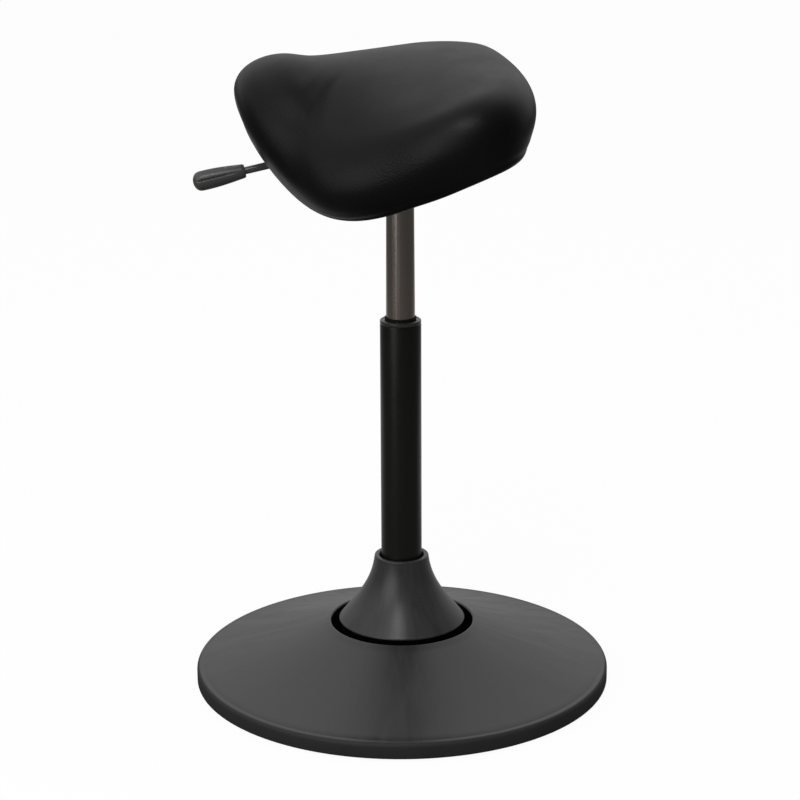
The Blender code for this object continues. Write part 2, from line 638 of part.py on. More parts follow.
def make_mechanism():
    low = socket_top - SOCKET_LENGTH
    points = [(stem_radius(socket_top) + GAP + SOCKET_WALL, socket_top),
              (stem_radius(low) + GAP + SOCKET_WALL, low), (stem_radius(low) + GAP, low),
              (stem_radius(socket_top) + GAP, socket_top)]
    turned("seat_socket", points, tube_paint, seat, steps=ROUND)

    bpy.ops.mesh.primitive_cube_add(size=1)
    block = bpy.context.object
    mesh = block.data
    mesh.name = "mechanism_plate"
    bpy.data.objects.remove(block)
    for vertex in mesh.vertices:
        vertex.co = (vertex.co.x * FLANGE_WIDTH, vertex.co.y * FLANGE_LENGTH, vertex.co.z * SHEET)
    plate = add_part("mechanism_plate", mesh, tube_paint, seat, (0, 0, MECHANISM_TOP - SHEET / 2))
    middle = (tray_bottom + flange_under + SHEET / 2) / 2
    tray = tool_box("tray", (TRAY_WIDTH, TRAY_LENGTH, flange_under + SHEET / 2 - tray_bottom), (0, 0, middle))
    combine(plate, tray, "UNION")
    hollow_top = MECHANISM_TOP + SHEET
    hollow = tool_box("tray_hollow", (TRAY_WIDTH - 2 * SHEET, TRAY_LENGTH - 2 * SHEET, hollow_top - tray_floor),
                      (0, 0, (hollow_top + tray_floor) / 2))
    combine(plate, hollow, "DIFFERENCE")
    stem_hole = tool_cylinder("stem_hole", STEM_TIP_RADIUS + 2 * GAP, tray_bottom - SHEET, tray_floor + SHEET,
                              steps=SMALL)
    combine(plate, stem_hole, "DIFFERENCE")
    pivot_hole = tool_cylinder("pivot_hole", PIVOT_RADIUS + GAP, -TRAY_WIDTH, TRAY_WIDTH,
                               -LEVER_ARM, lever_height, along="X")
    combine(plate, pivot_hole, "DIFFERENCE")
    wall = -TRAY_LENGTH / 2 + SHEET / 2
    rod_at_wall = lever_height + (wall + LEVER_ARM) * tan(LEVER_DROOP)
    slot_low = rod_at_wall - LEVER_RADIUS / cos(LEVER_DROOP) - SHEET / 2
    slot_rise = -(wall + LEVER_ARM) * tan(LEVER_LIFT)
    slot_high = rod_at_wall + LEVER_RADIUS / cos(LEVER_DROOP) + slot_rise + SHEET / 2
    slot = tool_box("lever_slot", (3 * LEVER_RADIUS, 3 * SHEET, slot_high - slot_low),
                    (0, wall, (slot_low + slot_high) / 2))
    combine(plate, slot, "DIFFERENCE")

    screw_y = FLANGE_LENGTH / 2 - SEAT_SCREW_EDGE
    places = [(sx * SEAT_SCREW_SPREAD, sy * screw_y) for sx in (-1, 1) for sy in (-1, 1)]
    length = SHEET + 2 * GAP + SEAT_SCREW_GRIP
    for i, (x, y) in enumerate(places, 1):
        hole = tool_cylinder(f"seat_hole_{i}", SEAT_SCREW_RADIUS + GAP, flange_under - SHEET,
                             flange_under + length + GAP, x, y)
        combine(plate, hole, "DIFFERENCE")
        screw_piece(f"seat_screw_{i}", SEAT_SCREW_RADIUS, length, steel, seat, (x, y, flange_under - GAP),
                    head_up=False)
        seat_holes.append(hole)

    half = TRAY_WIDTH / 2 + GAP
    head = PIVOT_RADIUS + PIVOT_HEAD
    points = [(0, half + PIVOT_HEAD), (head, half + PIVOT_HEAD), (head, half), (PIVOT_RADIUS, half),
              (PIVOT_RADIUS, -half), (head, -half), (head, -half - PIVOT_HEAD), (0, -half - PIVOT_HEAD)]
    pin = turned("pivot_pin", points, bright_steel, seat, (0, -LEVER_ARM, lever_height), closed=False, steps=TINY)
    pin.rotation_euler = (0, pi / 2, 0)


def curve_mesh(name, points, radius):
    """A round bar along a line, as a closed mesh."""
    bar = bpy.data.curves.new(name, "CURVE")
    bar.dimensions = "3D"
    bar.bevel_depth = radius
    bar.bevel_resolution = 3
    bar.use_fill_caps = True
    spline = bar.splines.new("POLY")
    spline.points.add(len(points) - 1)
    for point, place in zip(spline.points, points):
        point.co = (*place, 1)
    drawn = bpy.data.objects.new(name, bar)
    stool.objects.link(drawn)
    mesh = bpy.data.meshes.new_from_object(drawn.evaluated_get(bpy.context.evaluated_depsgraph_get()))
    bpy.data.objects.remove(drawn)
    build = bmesh.new()
    build.from_mesh(mesh)
    bmesh.ops.remove_doubles(build, verts=build.verts, dist=0.01 * MM)
    bmesh.ops.recalc_face_normals(build, faces=build.faces)
    build.to_mesh(mesh)
    build.free()
    return mesh


def lever_point(along):
    """A place on the outer rod, at a distance from the pivot, measured from the pivot."""
    return Vector((0, -along * cos(LEVER_DROOP), -along * sin(LEVER_DROOP)))


def make_lever():
    length = (LEVER_REACH - LEVER_ARM) / cos(LEVER_DROOP)
    rod_end = length - GRIP_END_WALL
    bend = 3 * LEVER_RADIUS
    points = [(0, LEVER_ARM + LEVER_INNER, 0), (0, bend, 0), lever_point(bend), lever_point(rod_end)]
    mesh = curve_mesh("lever_rod", points, LEVER_RADIUS)
    rod = add_part("lever_rod", mesh, lever_paint, lever, (0, -LEVER_ARM, lever_height))
    sleeve = tool_cylinder("lever_sleeve", LEVER_SLEEVE_RADIUS, -LEVER_SLEEVE_LENGTH / 2, LEVER_SLEEVE_LENGTH / 2,
                           -LEVER_ARM, lever_height, along="X", steps=SMALL)
    combine(rod, sleeve, "UNION")
    bore = tool_cylinder("lever_bore", PIVOT_RADIUS + SLIDE_GAP, -LEVER_SLEEVE_LENGTH, LEVER_SLEEVE_LENGTH,
                         -LEVER_ARM, lever_height, along="X")
    combine(rod, bore, "DIFFERENCE")

    start = length - GRIP_LENGTH
    bore_radius = LEVER_RADIUS + GAP
    sections = [(rod_end + GAP, bore_radius, bore_radius), (start, bore_radius, bore_radius)]
    for share in (0.0, 0.04, 0.2, 0.4, 0.6, 0.8, 0.9, 0.96, 0.99, 1.0):
        swell = sin(pi / 2 * min(share / GRIP_WIDEST, 1.0)) ** 1.1
        past = max(0.0, share - GRIP_DOME) / (1 - GRIP_DOME)
        close = sqrt(1 - (1 - GRIP_END_SHARE ** 2) * past ** 3)
        width = (GRIP_COLLAR + (GRIP_WIDTH - GRIP_COLLAR) * swell) * close
        height = (GRIP_COLLAR + (GRIP_HEIGHT - GRIP_COLLAR) * swell) * close
        sections.append((start + GRIP_LENGTH * share, width / 2, height / 2))
    rings = []
    for along, half_width, half_height in sections:
        centre = lever_point(along)
        upward = Vector((0, -sin(LEVER_DROOP), cos(LEVER_DROOP)))
        sides = [2 * pi * i / SMALL for i in range(SMALL)]
        rings.append([centre + Vector((half_width * cos(a), 0, 0)) + upward * half_height * sin(a) for a in sides])
    add_part("lever_grip", loft("lever_grip", rings), black_plastic, lever, (0, -LEVER_ARM, lever_height))


def make_seat():
    add_part("seat_cushion", loft("seat_cushion", [saddle_ring(*part) for part in foam_section()]), leather, seat)

    skin = [(shell_inset, share, -GAP - SHELL_THICKNESS) for share in reversed(UNDER_SHARES)]
    skin += [(shell_inset, share, -GAP) for share in UNDER_SHARES]
    shell = add_part("seat_shell", loft("seat_shell", [saddle_ring(*part) for part in skin]), black_plastic, seat)

    pad_height = MECHANISM_TOP + GAP
    boss_height = ridge_level + FOAM_THICKNESS - flange_under
    boss = tool_box("shell_boss", (FLANGE_WIDTH, FLANGE_LENGTH, boss_height), (0, 0, flange_under + boss_height / 2))
    upper = [saddle_ring(shell_inset, share, -BOSS_BITE) for share in UNDER_SHARES]
    lower = [[Vector((p.x, p.y, tray_bottom)) for p in points] for points in reversed(upper)]
    under_shell = as_tool(bpy.data.objects.new("under_shell", loft("under_shell", lower + upper)))
    combine(boss, under_shell, "INTERSECT")
    combine(shell, boss, "UNION")
    pad = tool_box("shell_pad", (FLANGE_WIDTH + 4 * GAP, FLANGE_LENGTH + 4 * GAP, pad_height - tray_bottom),
                   (0, 0, (pad_height + tray_bottom) / 2))
    combine(shell, pad, "DIFFERENCE")
    for hole in seat_holes:
        combine(shell, hole, "DIFFERENCE")


clear_scene()
stool = new_collection("saddle_stool")
cutters = new_collection("cutters")
seat_holes = []

leather = material("black_leather", (0.012, 0.012, 0.013), 0.45)
base_plastic = material("base_plastic", (0.055, 0.055, 0.058), 0.5)
trumpet_plastic = material("trumpet_plastic", (0.045, 0.045, 0.048), 0.5)
tube_paint = material("black_paint", (0.012, 0.012, 0.013), 0.35)
stem_steel = material("gunmetal_steel", (0.09, 0.085, 0.08), 0.35, 0.8)
black_plastic = material("black_plastic", (0.015, 0.015, 0.016), 0.4)
lever_paint = material("lever_paint", (0.01, 0.01, 0.011), 0.25)
rubber = material("black_rubber", (0.02, 0.02, 0.021), 0.8)
steel = material("zinc_steel", (0.35, 0.35, 0.36), 0.4, 1.0)
bright_steel = material("bright_steel", (0.5, 0.5, 0.5), 0.2, 1.0)

base = axis_empty("base_axis", (0, 0, 0))
tilt_x = axis_empty("tilt_x_axis", (0, 0, tilt_height), base)
tilt_y = axis_empty("tilt_y_axis", (0, 0, tilt_height), tilt_x)
swivel = axis_empty("swivel_axis", (0, 0, upper_race_bottom), tilt_y)
seat = axis_empty("lift_axis", (0, 0, stem_bottom), swivel)
lever = axis_empty("lever_axis", (0, -LEVER_ARM, lever_height), seat)
release = axis_empty("release_axis", (0, 0, stem_top), seat)

make_base()
make_tilt_mount()
make_trumpet()
make_column()
make_rod()
make_gas_cylinder()
make_mechanism()
make_lever()
make_seat()
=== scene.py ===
import math

import bmesh
import bpy
from mathutils import Matrix, Vector


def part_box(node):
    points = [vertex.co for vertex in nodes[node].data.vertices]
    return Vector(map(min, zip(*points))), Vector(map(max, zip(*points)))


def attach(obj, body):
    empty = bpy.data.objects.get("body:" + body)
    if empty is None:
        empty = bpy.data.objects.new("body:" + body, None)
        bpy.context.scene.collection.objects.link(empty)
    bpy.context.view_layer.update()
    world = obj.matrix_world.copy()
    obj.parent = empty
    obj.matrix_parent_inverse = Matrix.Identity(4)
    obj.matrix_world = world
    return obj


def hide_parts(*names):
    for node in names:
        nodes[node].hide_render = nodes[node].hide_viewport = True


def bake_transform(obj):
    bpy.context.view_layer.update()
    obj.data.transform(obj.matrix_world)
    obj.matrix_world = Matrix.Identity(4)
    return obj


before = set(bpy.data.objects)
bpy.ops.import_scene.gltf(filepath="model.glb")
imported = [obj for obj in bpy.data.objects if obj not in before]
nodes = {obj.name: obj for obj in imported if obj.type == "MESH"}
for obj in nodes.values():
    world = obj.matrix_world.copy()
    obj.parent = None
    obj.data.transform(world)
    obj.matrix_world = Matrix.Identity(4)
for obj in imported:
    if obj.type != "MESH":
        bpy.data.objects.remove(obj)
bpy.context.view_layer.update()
mm = 0.001
white = (1, 1, 1, 1)
print("frame loaded:", len(nodes), "CAD nodes")


# camera and light
photoView = {
    "azimuth": 82.5, "distance": 2.127, "height": 0.9114, "pitch": 16.355, "roll": -0.25,
    "focalPixels": 2278, "imageSize": 800, "centreColumn": 400.9, "sensor": 36.0,
}
# the room as shiny surfaces see it: edges and feet on a unit direction, the sweep's top in degrees
mirrorRoom = {
    "fill": 0.6, "roomGlow": 0.07,
    "sweepSide": (-0.99, 0.13, 0), "sweepEdge": {"From Min": 0.15, "From Max": 0.9}, "sweepTop": (60, 74),
    "sweepFoot": {"From Min": 0.0, "From Max": 0.6, "To Min": 0.42},
    "wallSide": (-0.217, -0.976, 0), "wallEdge": {"From Min": 0.0, "From Max": 0.5},
    "wallFoot": {"From Min": 0.15, "From Max": 0.4, "To Max": 0.64},
}
paperFloor = {  # sizes in m
    "size": 60.0, "drop": 0.2 * mm, "colour": "#6f6f6d", "cameraGlow": 0.95, "stripAcross": (0.13, 0.99, 0),
    "stripStart": {"From Min": 0.0, "From Max": 0.7, "To Min": 0.02, "To Max": 0.55},
    "stripEdge": {"From Min": 1.3, "From Max": 0.8},
}
softboxes = {  # power in W, sizes in m
    "top": {"power": 6.0, "size": 2.6, "place": (-0.5, -0.1, 2.6)},
    "key": {"power": 9.0, "size": 0.6, "place": (1.21, -0.43, 2.04)},
    "side": {"power": 11.0, "size": 1.7, "place": (1.45, -1.48, 0.95)},
}
lampTarget = (0, 0, 0.35)
softStep = {"interpolation_type": "SMOOTHSTEP"}


def hexColour(code):  # sRGB hex to linear, with alpha
    parts = [int(code[i:i + 2], 16) / 255 for i in (1, 3, 5)]
    return tuple(c / 12.92 if c <= 0.04045 else ((c + 0.055) / 1.055) ** 2.4 for c in parts) + (1.0,)


def addNode(tree, kind, settings=None, links=None):  # one node, its settings and what feeds it
    made = tree.nodes.new(kind)
    for name, value in (settings or {}).items():
        if isinstance(name, int) or name in made.inputs:
            made.inputs[name].default_value = value
        else:
            setattr(made, name, value)
    for name, source in (links or {}).items():
        tree.links.new(source, made.inputs[name])
    return made


def setCamera():
    azimuth, pitch = math.radians(photoView["azimuth"]), math.radians(photoView["pitch"])
    bpy.ops.object.select_all(action="DESELECT")
    bpy.ops.object.camera_add(location=(math.sin(azimuth) * photoView["distance"],
                                        -math.cos(azimuth) * photoView["distance"], photoView["height"]))
    camera = bpy.context.object
    camera.name = "photoCamera"
    forward = Vector((-math.sin(azimuth) * math.cos(pitch), math.cos(azimuth) * math.cos(pitch), -math.sin(pitch)))
    turn = forward.to_track_quat("-Z", "Y").to_matrix() @ Matrix.Rotation(math.radians(photoView["roll"]), 3, "Z")
    camera.rotation_euler = turn.to_euler()
    size = photoView["imageSize"]
    camera.data.sensor_width = photoView["sensor"]
    camera.data.lens = photoView["focalPixels"] / size * photoView["sensor"]
    camera.data.shift_x = (size / 2 - photoView["centreColumn"]) / size
    bpy.context.scene.camera = camera


def setWorld():
    m = mirrorRoom
    scene = bpy.context.scene
    scene.view_settings.view_transform = "Standard"
    world = bpy.data.worlds.new("studioWorld")
    scene.world = world
    world.use_nodes = True
    tree = world.node_tree
    rays = addNode(tree, "ShaderNodeLightPath").outputs
    seen = addNode(tree, "ShaderNodeMath", {"operation": "MAXIMUM"},
                   {0: rays["Is Camera Ray"], 1: rays["Is Glossy Ray"]})
    seen = addNode(tree, "ShaderNodeMath", {"operation": "MAXIMUM"},
                   {0: seen.outputs[0], 1: rays["Is Transmission Ray"]})
    place = addNode(tree, "ShaderNodeTexCoord").outputs["Generated"]
    level = addNode(tree, "ShaderNodeSeparateXYZ", None, {0: place})

    # a white sweep behind the stool, dimmer near the floor and ending overhead, and a dim room before it
    heading = addNode(tree, "ShaderNodeCombineXYZ", None, {0: level.outputs["X"], 1: level.outputs["Y"]})
    heading = addNode(tree, "ShaderNodeVectorMath", {"operation": "NORMALIZE"}, {0: heading.outputs[0]})
    behind = addNode(tree, "ShaderNodeVectorMath", {"operation": "DOT_PRODUCT", 1: m["sweepSide"]},
                     {0: heading.outputs[0]})
    behind = addNode(tree, "ShaderNodeMapRange", {**softStep, **m["sweepEdge"]}, {"Value": behind.outputs["Value"]})
    low, high = [math.sin(math.radians(angle)) for angle in m["sweepTop"]]
    below = addNode(tree, "ShaderNodeMapRange", {**softStep, "From Min": high, "From Max": low},
                    {"Value": level.outputs["Z"]})
    sweep = addNode(tree, "ShaderNodeMath", {"operation": "MULTIPLY"}, {0: behind.outputs[0], 1: below.outputs[0]})
    above = addNode(tree, "ShaderNodeMapRange", m["sweepFoot"], {"Value": level.outputs["Z"]})
    sweep = addNode(tree, "ShaderNodeMath", {"operation": "MULTIPLY"}, {0: sweep.outputs[0], 1: above.outputs[0]})
    sweep = addNode(tree, "ShaderNodeMapRange", {"To Min": m["roomGlow"], "To Max": 1.0}, {"Value": sweep.outputs[0]})

    # a wall at the side of the pommel
    beside = addNode(tree, "ShaderNodeVectorMath", {"operation": "DOT_PRODUCT", 1: m["wallSide"]}, {0: place})
    beside = addNode(tree, "ShaderNodeMapRange", {**softStep, **m["wallEdge"]}, {"Value": beside.outputs["Value"]})
    raised = addNode(tree, "ShaderNodeMapRange", {**softStep, **m["wallFoot"]}, {"Value": level.outputs["Z"]})
    wall = addNode(tree, "ShaderNodeMath", {"operation": "MULTIPLY"}, {0: beside.outputs[0], 1: raised.outputs[0]})
    room = addNode(tree, "ShaderNodeMath", {"operation": "MAXIMUM"}, {0: sweep.outputs[0], 1: wall.outputs[0]})
    glow = addNode(tree, "ShaderNodeMath", {"operation": "MAXIMUM"}, {0: room.outputs[0], 1: rays["Is Camera Ray"]})
    strength = addNode(tree, "ShaderNodeMix", {"data_type": "FLOAT", 2: m["fill"]},
                       {0: seen.outputs[0], 3: glow.outputs[0]})
    background = tree.nodes["Background"]
    background.inputs["Color"].default_value = white
    tree.links.new(strength.outputs[0], background.inputs["Strength"])


def setFloor():
    p = paperFloor
    bpy.ops.object.select_all(action="DESELECT")
    bpy.ops.mesh.primitive_plane_add(size=p["size"], location=(0, 0, -p["drop"]))
    floor = bpy.context.object
    floor.name = "studioFloor"
    look = bpy.data.materials.new("paperSweep")  # matt paper sweep: seen white, with a faint shadow
    look.use_nodes = True
    tree = look.node_tree
    tree.nodes.remove(tree.nodes["Principled BSDF"])
    rays = addNode(tree, "ShaderNodeLightPath").outputs
    mirrored = addNode(tree, "ShaderNodeMath", {"operation": "MAXIMUM"},
                       {0: rays["Is Glossy Ray"], 1: rays["Is Transmission Ray"]})

    # in mirrors, a strip of white paper behind the stool
    spot = addNode(tree, "ShaderNodeTexCoord").outputs["Object"]
    behind = addNode(tree, "ShaderNodeVectorMath", {"operation": "DOT_PRODUCT", 1: mirrorRoom["sweepSide"]}, {0: spot})
    behind = addNode(tree, "ShaderNodeMapRange", {**softStep, **p["stripStart"]}, {"Value": behind.outputs["Value"]})
    across = addNode(tree, "ShaderNodeVectorMath", {"operation": "DOT_PRODUCT", 1: p["stripAcross"]}, {0: spot})
    across = addNode(tree, "ShaderNodeMath", {"operation": "ABSOLUTE"}, {0: across.outputs["Value"]})
    within = addNode(tree, "ShaderNodeMapRange", {**softStep, **p["stripEdge"]}, {"Value": across.outputs[0]})
    strip = addNode(tree, "ShaderNodeMath", {"operation": "MULTIPLY"}, {0: behind.outputs[0], 1: within.outputs[0]})
    mirrored = addNode(tree, "ShaderNodeMath", {"operation": "MULTIPLY"},
                       {0: mirrored.outputs[0], 1: strip.outputs[0]})
    share = addNode(tree, "ShaderNodeMath", {"operation": "MULTIPLY_ADD", 1: p["cameraGlow"]},
                    {0: rays["Is Camera Ray"], 2: mirrored.outputs[0]})
    tone = addNode(tree, "ShaderNodeMix", {"data_type": "RGBA", 6: hexColour(p["colour"]), 7: white},
                   {0: rays["Is Camera Ray"]})
    paper = addNode(tree, "ShaderNodeBsdfDiffuse", None, {"Color": tone.outputs[2]})
    glow = addNode(tree, "ShaderNodeEmission", {"Color": white, "Strength": 1.0})
    mixed = addNode(tree, "ShaderNodeMixShader", None, {0: share.outputs[0], 1: paper.outputs[0], 2: glow.outputs[0]})
    tree.links.new(mixed.outputs[0], tree.nodes["Material Output"].inputs["Surface"])
    floor.data.materials.append(look)


def setLamps():
    for name, box in softboxes.items():
        bpy.ops.object.light_add(type="AREA", location=box["place"])
        lamp = bpy.context.object
        lamp.name = name + "Softbox"
        lamp.data.shape = "DISK"
        lamp.data.size = box["size"]
        lamp.data.energy = box["power"]
        lamp.rotation_euler = (Vector(lampTarget) - lamp.location).to_track_quat("-Z", "Y").to_euler()


setCamera()
setWorld()
setFloor()
setLamps()
print("camera and studio set")


# finishes
def startFinish(name, sockets):
    look = bpy.data.materials.new(name)
    look.use_nodes = True
    shader = look.node_tree.nodes["Principled BSDF"]
    for socket, value in sockets.items():
        shader.inputs[socket].default_value = value
    place = addNode(look.node_tree, "ShaderNodeTexCoord").outputs["Object"]
    return look, look.node_tree, shader, place


def perMetre(size):  # a texture's scale from the size of one of its cells in mm
    return 1.0 / (size * mm)


midNoise = {"From Min": 0.3, "From Max": 0.7}  # where most of a noise texture's values lie
leatherGrain = {  # sizes in mm
    "pebble": 1.6, "pebbleBlend": 0.5, "patch": 55, "fine": 0.9, "fineShare": 0.3, "strength": 0.25, "depth": 0.25,
    "smooth": 0.39, "rough": 0.48, "dark": "#050505", "light": "#0a090a",
}
creases = {  # sizes in mm
    "place": (176, -34, 552), "reach": 42.0, "core": 0.2, "turn": (0.5, 0, 0), "stretch": (1, 0.16, 1), "width": 1.8,
    "strength": 0.8, "depth": 0.7,
}


def coatedLeather():
    # Coated split leather, embossed with a fine pebble: nearly black, matt from in front, and a soft
    # grey sheen where it is seen along the surface. The pebble is 1.6 mm, a little coarser than the
    # real emboss, so that it shows.
    g = leatherGrain
    look, tree, shader, place = startFinish("coatedLeather", {
        "Roughness": 0.44, "IOR": 1.5, "Specular IOR Level": 0.21})
    pebble = addNode(tree, "ShaderNodeTexVoronoi", {"feature": "SMOOTH_F1", "Scale": perMetre(g["pebble"]),
                                                    "Smoothness": g["pebbleBlend"]}, {"Vector": place})
    wear = addNode(tree, "ShaderNodeTexNoise", {"Scale": perMetre(g["patch"]), "Detail": 4.0, "Roughness": 0.6},
                   {"Vector": place})
    fine = addNode(tree, "ShaderNodeTexNoise", {"Scale": perMetre(g["fine"]), "Detail": 2.0}, {"Vector": place})
    colour = addNode(tree, "ShaderNodeMix", {"data_type": "RGBA", 6: hexColour(g["dark"]), 7: hexColour(g["light"])},
                     {0: wear.outputs["Fac"]})
    tree.links.new(colour.outputs[2], shader.inputs["Base Color"])
    rough = addNode(tree, "ShaderNodeMapRange", {**midNoise, "To Min": g["smooth"], "To Max": g["rough"]},
                    {"Value": wear.outputs["Fac"]})
    tree.links.new(rough.outputs[0], shader.inputs["Roughness"])
    grain = addNode(tree, "ShaderNodeMath", {"operation": "MULTIPLY_ADD", 1: g["fineShare"]},
                    {0: fine.outputs["Fac"], 2: pebble.outputs["Distance"]})
    bump = addNode(tree, "ShaderNodeBump", {"invert": True, "Strength": g["strength"], "Distance": g["depth"] * mm},
                   {"Height": grain.outputs[0]})
    # fine creases where the cover turns over the thigh edge, alike on both sides
    c = creases
    ends = addNode(tree, "ShaderNodeSeparateXYZ", None, {0: place})
    side = addNode(tree, "ShaderNodeMath", {"operation": "ABSOLUTE"}, {0: ends.outputs["X"]})
    folded = addNode(tree, "ShaderNodeCombineXYZ", None,
                     {0: side.outputs[0], 1: ends.outputs["Y"], 2: ends.outputs["Z"]})
    away = addNode(tree, "ShaderNodeVectorMath", {"operation": "DISTANCE", 1: [p * mm for p in c["place"]]},
                   {0: folded.outputs[0]})
    near = addNode(tree, "ShaderNodeMapRange", {**softStep, "From Min": c["reach"] * mm,
                                                "From Max": c["reach"] * c["core"] * mm},
                   {"Value": away.outputs["Value"]})
    turned = addNode(tree, "ShaderNodeMapping", {"Rotation": c["turn"], "Scale": c["stretch"]},
                     {"Vector": folded.outputs[0]})
    lines = addNode(tree, "ShaderNodeTexNoise", {"Scale": perMetre(c["width"]), "Detail": 2.0, "Distortion": 0.6},
                    {"Vector": turned.outputs[0]})
    folds = addNode(tree, "ShaderNodeMath", {"operation": "MULTIPLY"}, {0: lines.outputs["Fac"], 1: near.outputs[0]})
    creased = addNode(tree, "ShaderNodeBump", {"Strength": c["strength"], "Distance": c["depth"] * mm},
                      {"Height": folds.outputs[0], "Normal": bump.outputs[0]})
    tree.links.new(creased.outputs[0], shader.inputs["Normal"])
    return look


def mouldedCover(name, dark, light, sockets, across, length, smooth, rough, texture, depth):
    # Moulded polypropylene: charcoal, satin, with faint flow streaks that run out from the middle
    # and the fine texture of a spark-eroded mould.
    look, tree, shader, place = startFinish(name, sockets)
    ends = addNode(tree, "ShaderNodeSeparateXYZ", None, {0: place})
    flat = addNode(tree, "ShaderNodeCombineXYZ", None, {0: ends.outputs[0], 1: ends.outputs[1]})
    outward = addNode(tree, "ShaderNodeVectorMath", {"operation": "NORMALIZE"}, {0: flat.outputs[0]})
    spread = addNode(tree, "ShaderNodeVectorMath", {"operation": "SCALE", "Scale": across}, {0: outward.outputs[0]})
    along = addNode(tree, "ShaderNodeVectorMath", {"operation": "SCALE", "Scale": perMetre(length)}, {0: place})
    path = addNode(tree, "ShaderNodeVectorMath", {"operation": "ADD"}, {0: spread.outputs[0], 1: along.outputs[0]})
    flow = addNode(tree, "ShaderNodeTexNoise", {"Scale": 1.0, "Detail": 6.0, "Roughness": 0.66, "Distortion": 0.9},
                   {"Vector": path.outputs[0]})
    tone = addNode(tree, "ShaderNodeMapRange", {"From Min": 0.36, "From Max": 0.64}, {"Value": flow.outputs["Fac"]})
    colour = addNode(tree, "ShaderNodeMix", {"data_type": "RGBA", 6: hexColour(dark), 7: hexColour(light)},
                     {0: tone.outputs[0]})
    tree.links.new(colour.outputs[2], shader.inputs["Base Color"])
    gloss = addNode(tree, "ShaderNodeMapRange", {**midNoise, "To Min": smooth, "To Max": rough},
                    {"Value": flow.outputs["Fac"]})
    tree.links.new(gloss.outputs[0], shader.inputs["Roughness"])
    grit = addNode(tree, "ShaderNodeTexNoise", {"Scale": perMetre(texture), "Detail": 2.0}, {"Vector": place})
    bump = addNode(tree, "ShaderNodeBump", {"Strength": 0.3, "Distance": depth * mm}, {"Height": grit.outputs["Fac"]})
    tree.links.new(bump.outputs[0], shader.inputs["Normal"])
    return look


def plainFinish(name, dark, light, sockets, patch, texture, strength, depth, smooth, rough, stretch=(1, 1, 1)):
    # One body colour that varies softly, with a surface texture; each use below says what it is.
    look, tree, shader, place = startFinish(name, sockets)
    mapped = addNode(tree, "ShaderNodeMapping", {"Scale": stretch}, {"Vector": place})
    cloud = addNode(tree, "ShaderNodeTexNoise", {"Scale": perMetre(patch), "Detail": 4.0, "Roughness": 0.6},
                    {"Vector": mapped.outputs[0]})
    colour = addNode(tree, "ShaderNodeMix", {"data_type": "RGBA", 6: hexColour(dark), 7: hexColour(light)},
                     {0: cloud.outputs["Fac"]})
    tree.links.new(colour.outputs[2], shader.inputs["Base Color"])
    gloss = addNode(tree, "ShaderNodeMapRange", {**midNoise, "To Min": smooth, "To Max": rough},
                    {"Value": cloud.outputs["Fac"]})
    tree.links.new(gloss.outputs[0], shader.inputs["Roughness"])
    grit = addNode(tree, "ShaderNodeTexNoise", {"Scale": perMetre(texture), "Detail": 3.0},
                   {"Vector": mapped.outputs[0]})
    bump = addNode(tree, "ShaderNodeBump", {"Strength": strength, "Distance": depth * mm},
                   {"Height": grit.outputs["Fac"]})
    tree.links.new(bump.outputs[0], shader.inputs["Normal"])
    return look


# patch, texture, length and depth are in mm
leather = coatedLeather()
basePlastic = mouldedCover("mouldedPolypropylene", "#1b1a1a", "#282727", {"IOR": 1.49, "Specular IOR Level": 0.55},
                           across=7.0, length=90, smooth=0.31, rough=0.44, texture=0.9, depth=0.05)
bootPlastic = mouldedCover("sparkErodedPolypropylene", "#2b2b2c", "#353536", {"IOR": 1.49, "Specular IOR Level": 0.5},
                           across=5.0, length=60, smooth=0.33, rough=0.42, texture=0.9, depth=0.08)
# the same moulding where its rim is left grained: darker, with little shine
rimPlastic = plainFinish("grainedPolypropylene", "#2a2929", "#333232", {"IOR": 1.49, "Specular IOR Level": 0.22},
                         patch=30, texture=0.9, strength=0.2, depth=0.06, smooth=0.5, rough=0.62)
# stove enamel on steel: black, satin, with a faint orange peel
tubePaint = plainFinish("satinEnamel", "#0c0b0a", "#11100f", {"IOR": 1.5, "Specular IOR Level": 0.42},
                        patch=40, texture=2.2, strength=0.12, depth=0.04, smooth=0.26, rough=0.34)
# nitrided gas-spring tube: warm dark grey, drawn along its length
stemSteel = plainFinish("nitridedSteel", "#958b86", "#a0968f", {"Metallic": 1.0}, patch=9, texture=1.2,
                        strength=0.08, depth=0.02, smooth=0.24, rough=0.34, stretch=(1, 1, 0.06))
# acetal bush: black and polished by its mould
bushAcetal = plainFinish("acetal", "#2f2e2d", "#373635", {"IOR": 1.48, "Specular IOR Level": 0.5},
                         patch=20, texture=1.5, strength=0.08, depth=0.02, smooth=0.1, rough=0.18)
# nitrile and floor rubber: matt, slightly dusty
softRubber = plainFinish("nitrileRubber", "#0c0c0c", "#171716", {"IOR": 1.52, "Specular IOR Level": 0.2},
                         patch=18, texture=1.0, strength=0.3, depth=0.08, smooth=0.62, rough=0.8)
# painted shade for the gap: the inside of the base moulding and the boot's skirt, coloured near black and matt, so that
# the gap stays dark
mattPaintedShade = plainFinish("mattPaintedShadePolypropylene", "#070707", "#0c0c0c", {"IOR": 1.49, "Specular IOR Level": 0.0},
                         patch=20, texture=1.0, strength=0.3, depth=0.06, smooth=0.7, rough=0.85)
# phosphated steel of the hub inside the boot: matt black
hubPhosphate = plainFinish("phosphatedSteel", "#080808", "#0d0d0d", {"IOR": 1.5, "Specular IOR Level": 0.02},
                           patch=15, texture=0.8, strength=0.25, depth=0.05, smooth=0.7, rough=0.85)
# gloss enamel on the lever's bar: dark grey, with a clear highlight
leverEnamel = plainFinish("glossEnamel", "#474646", "#514f4f", {"IOR": 1.5, "Specular IOR Level": 0.6},
                          patch=25, texture=1.6, strength=0.05, depth=0.03, smooth=0.22, rough=0.3)
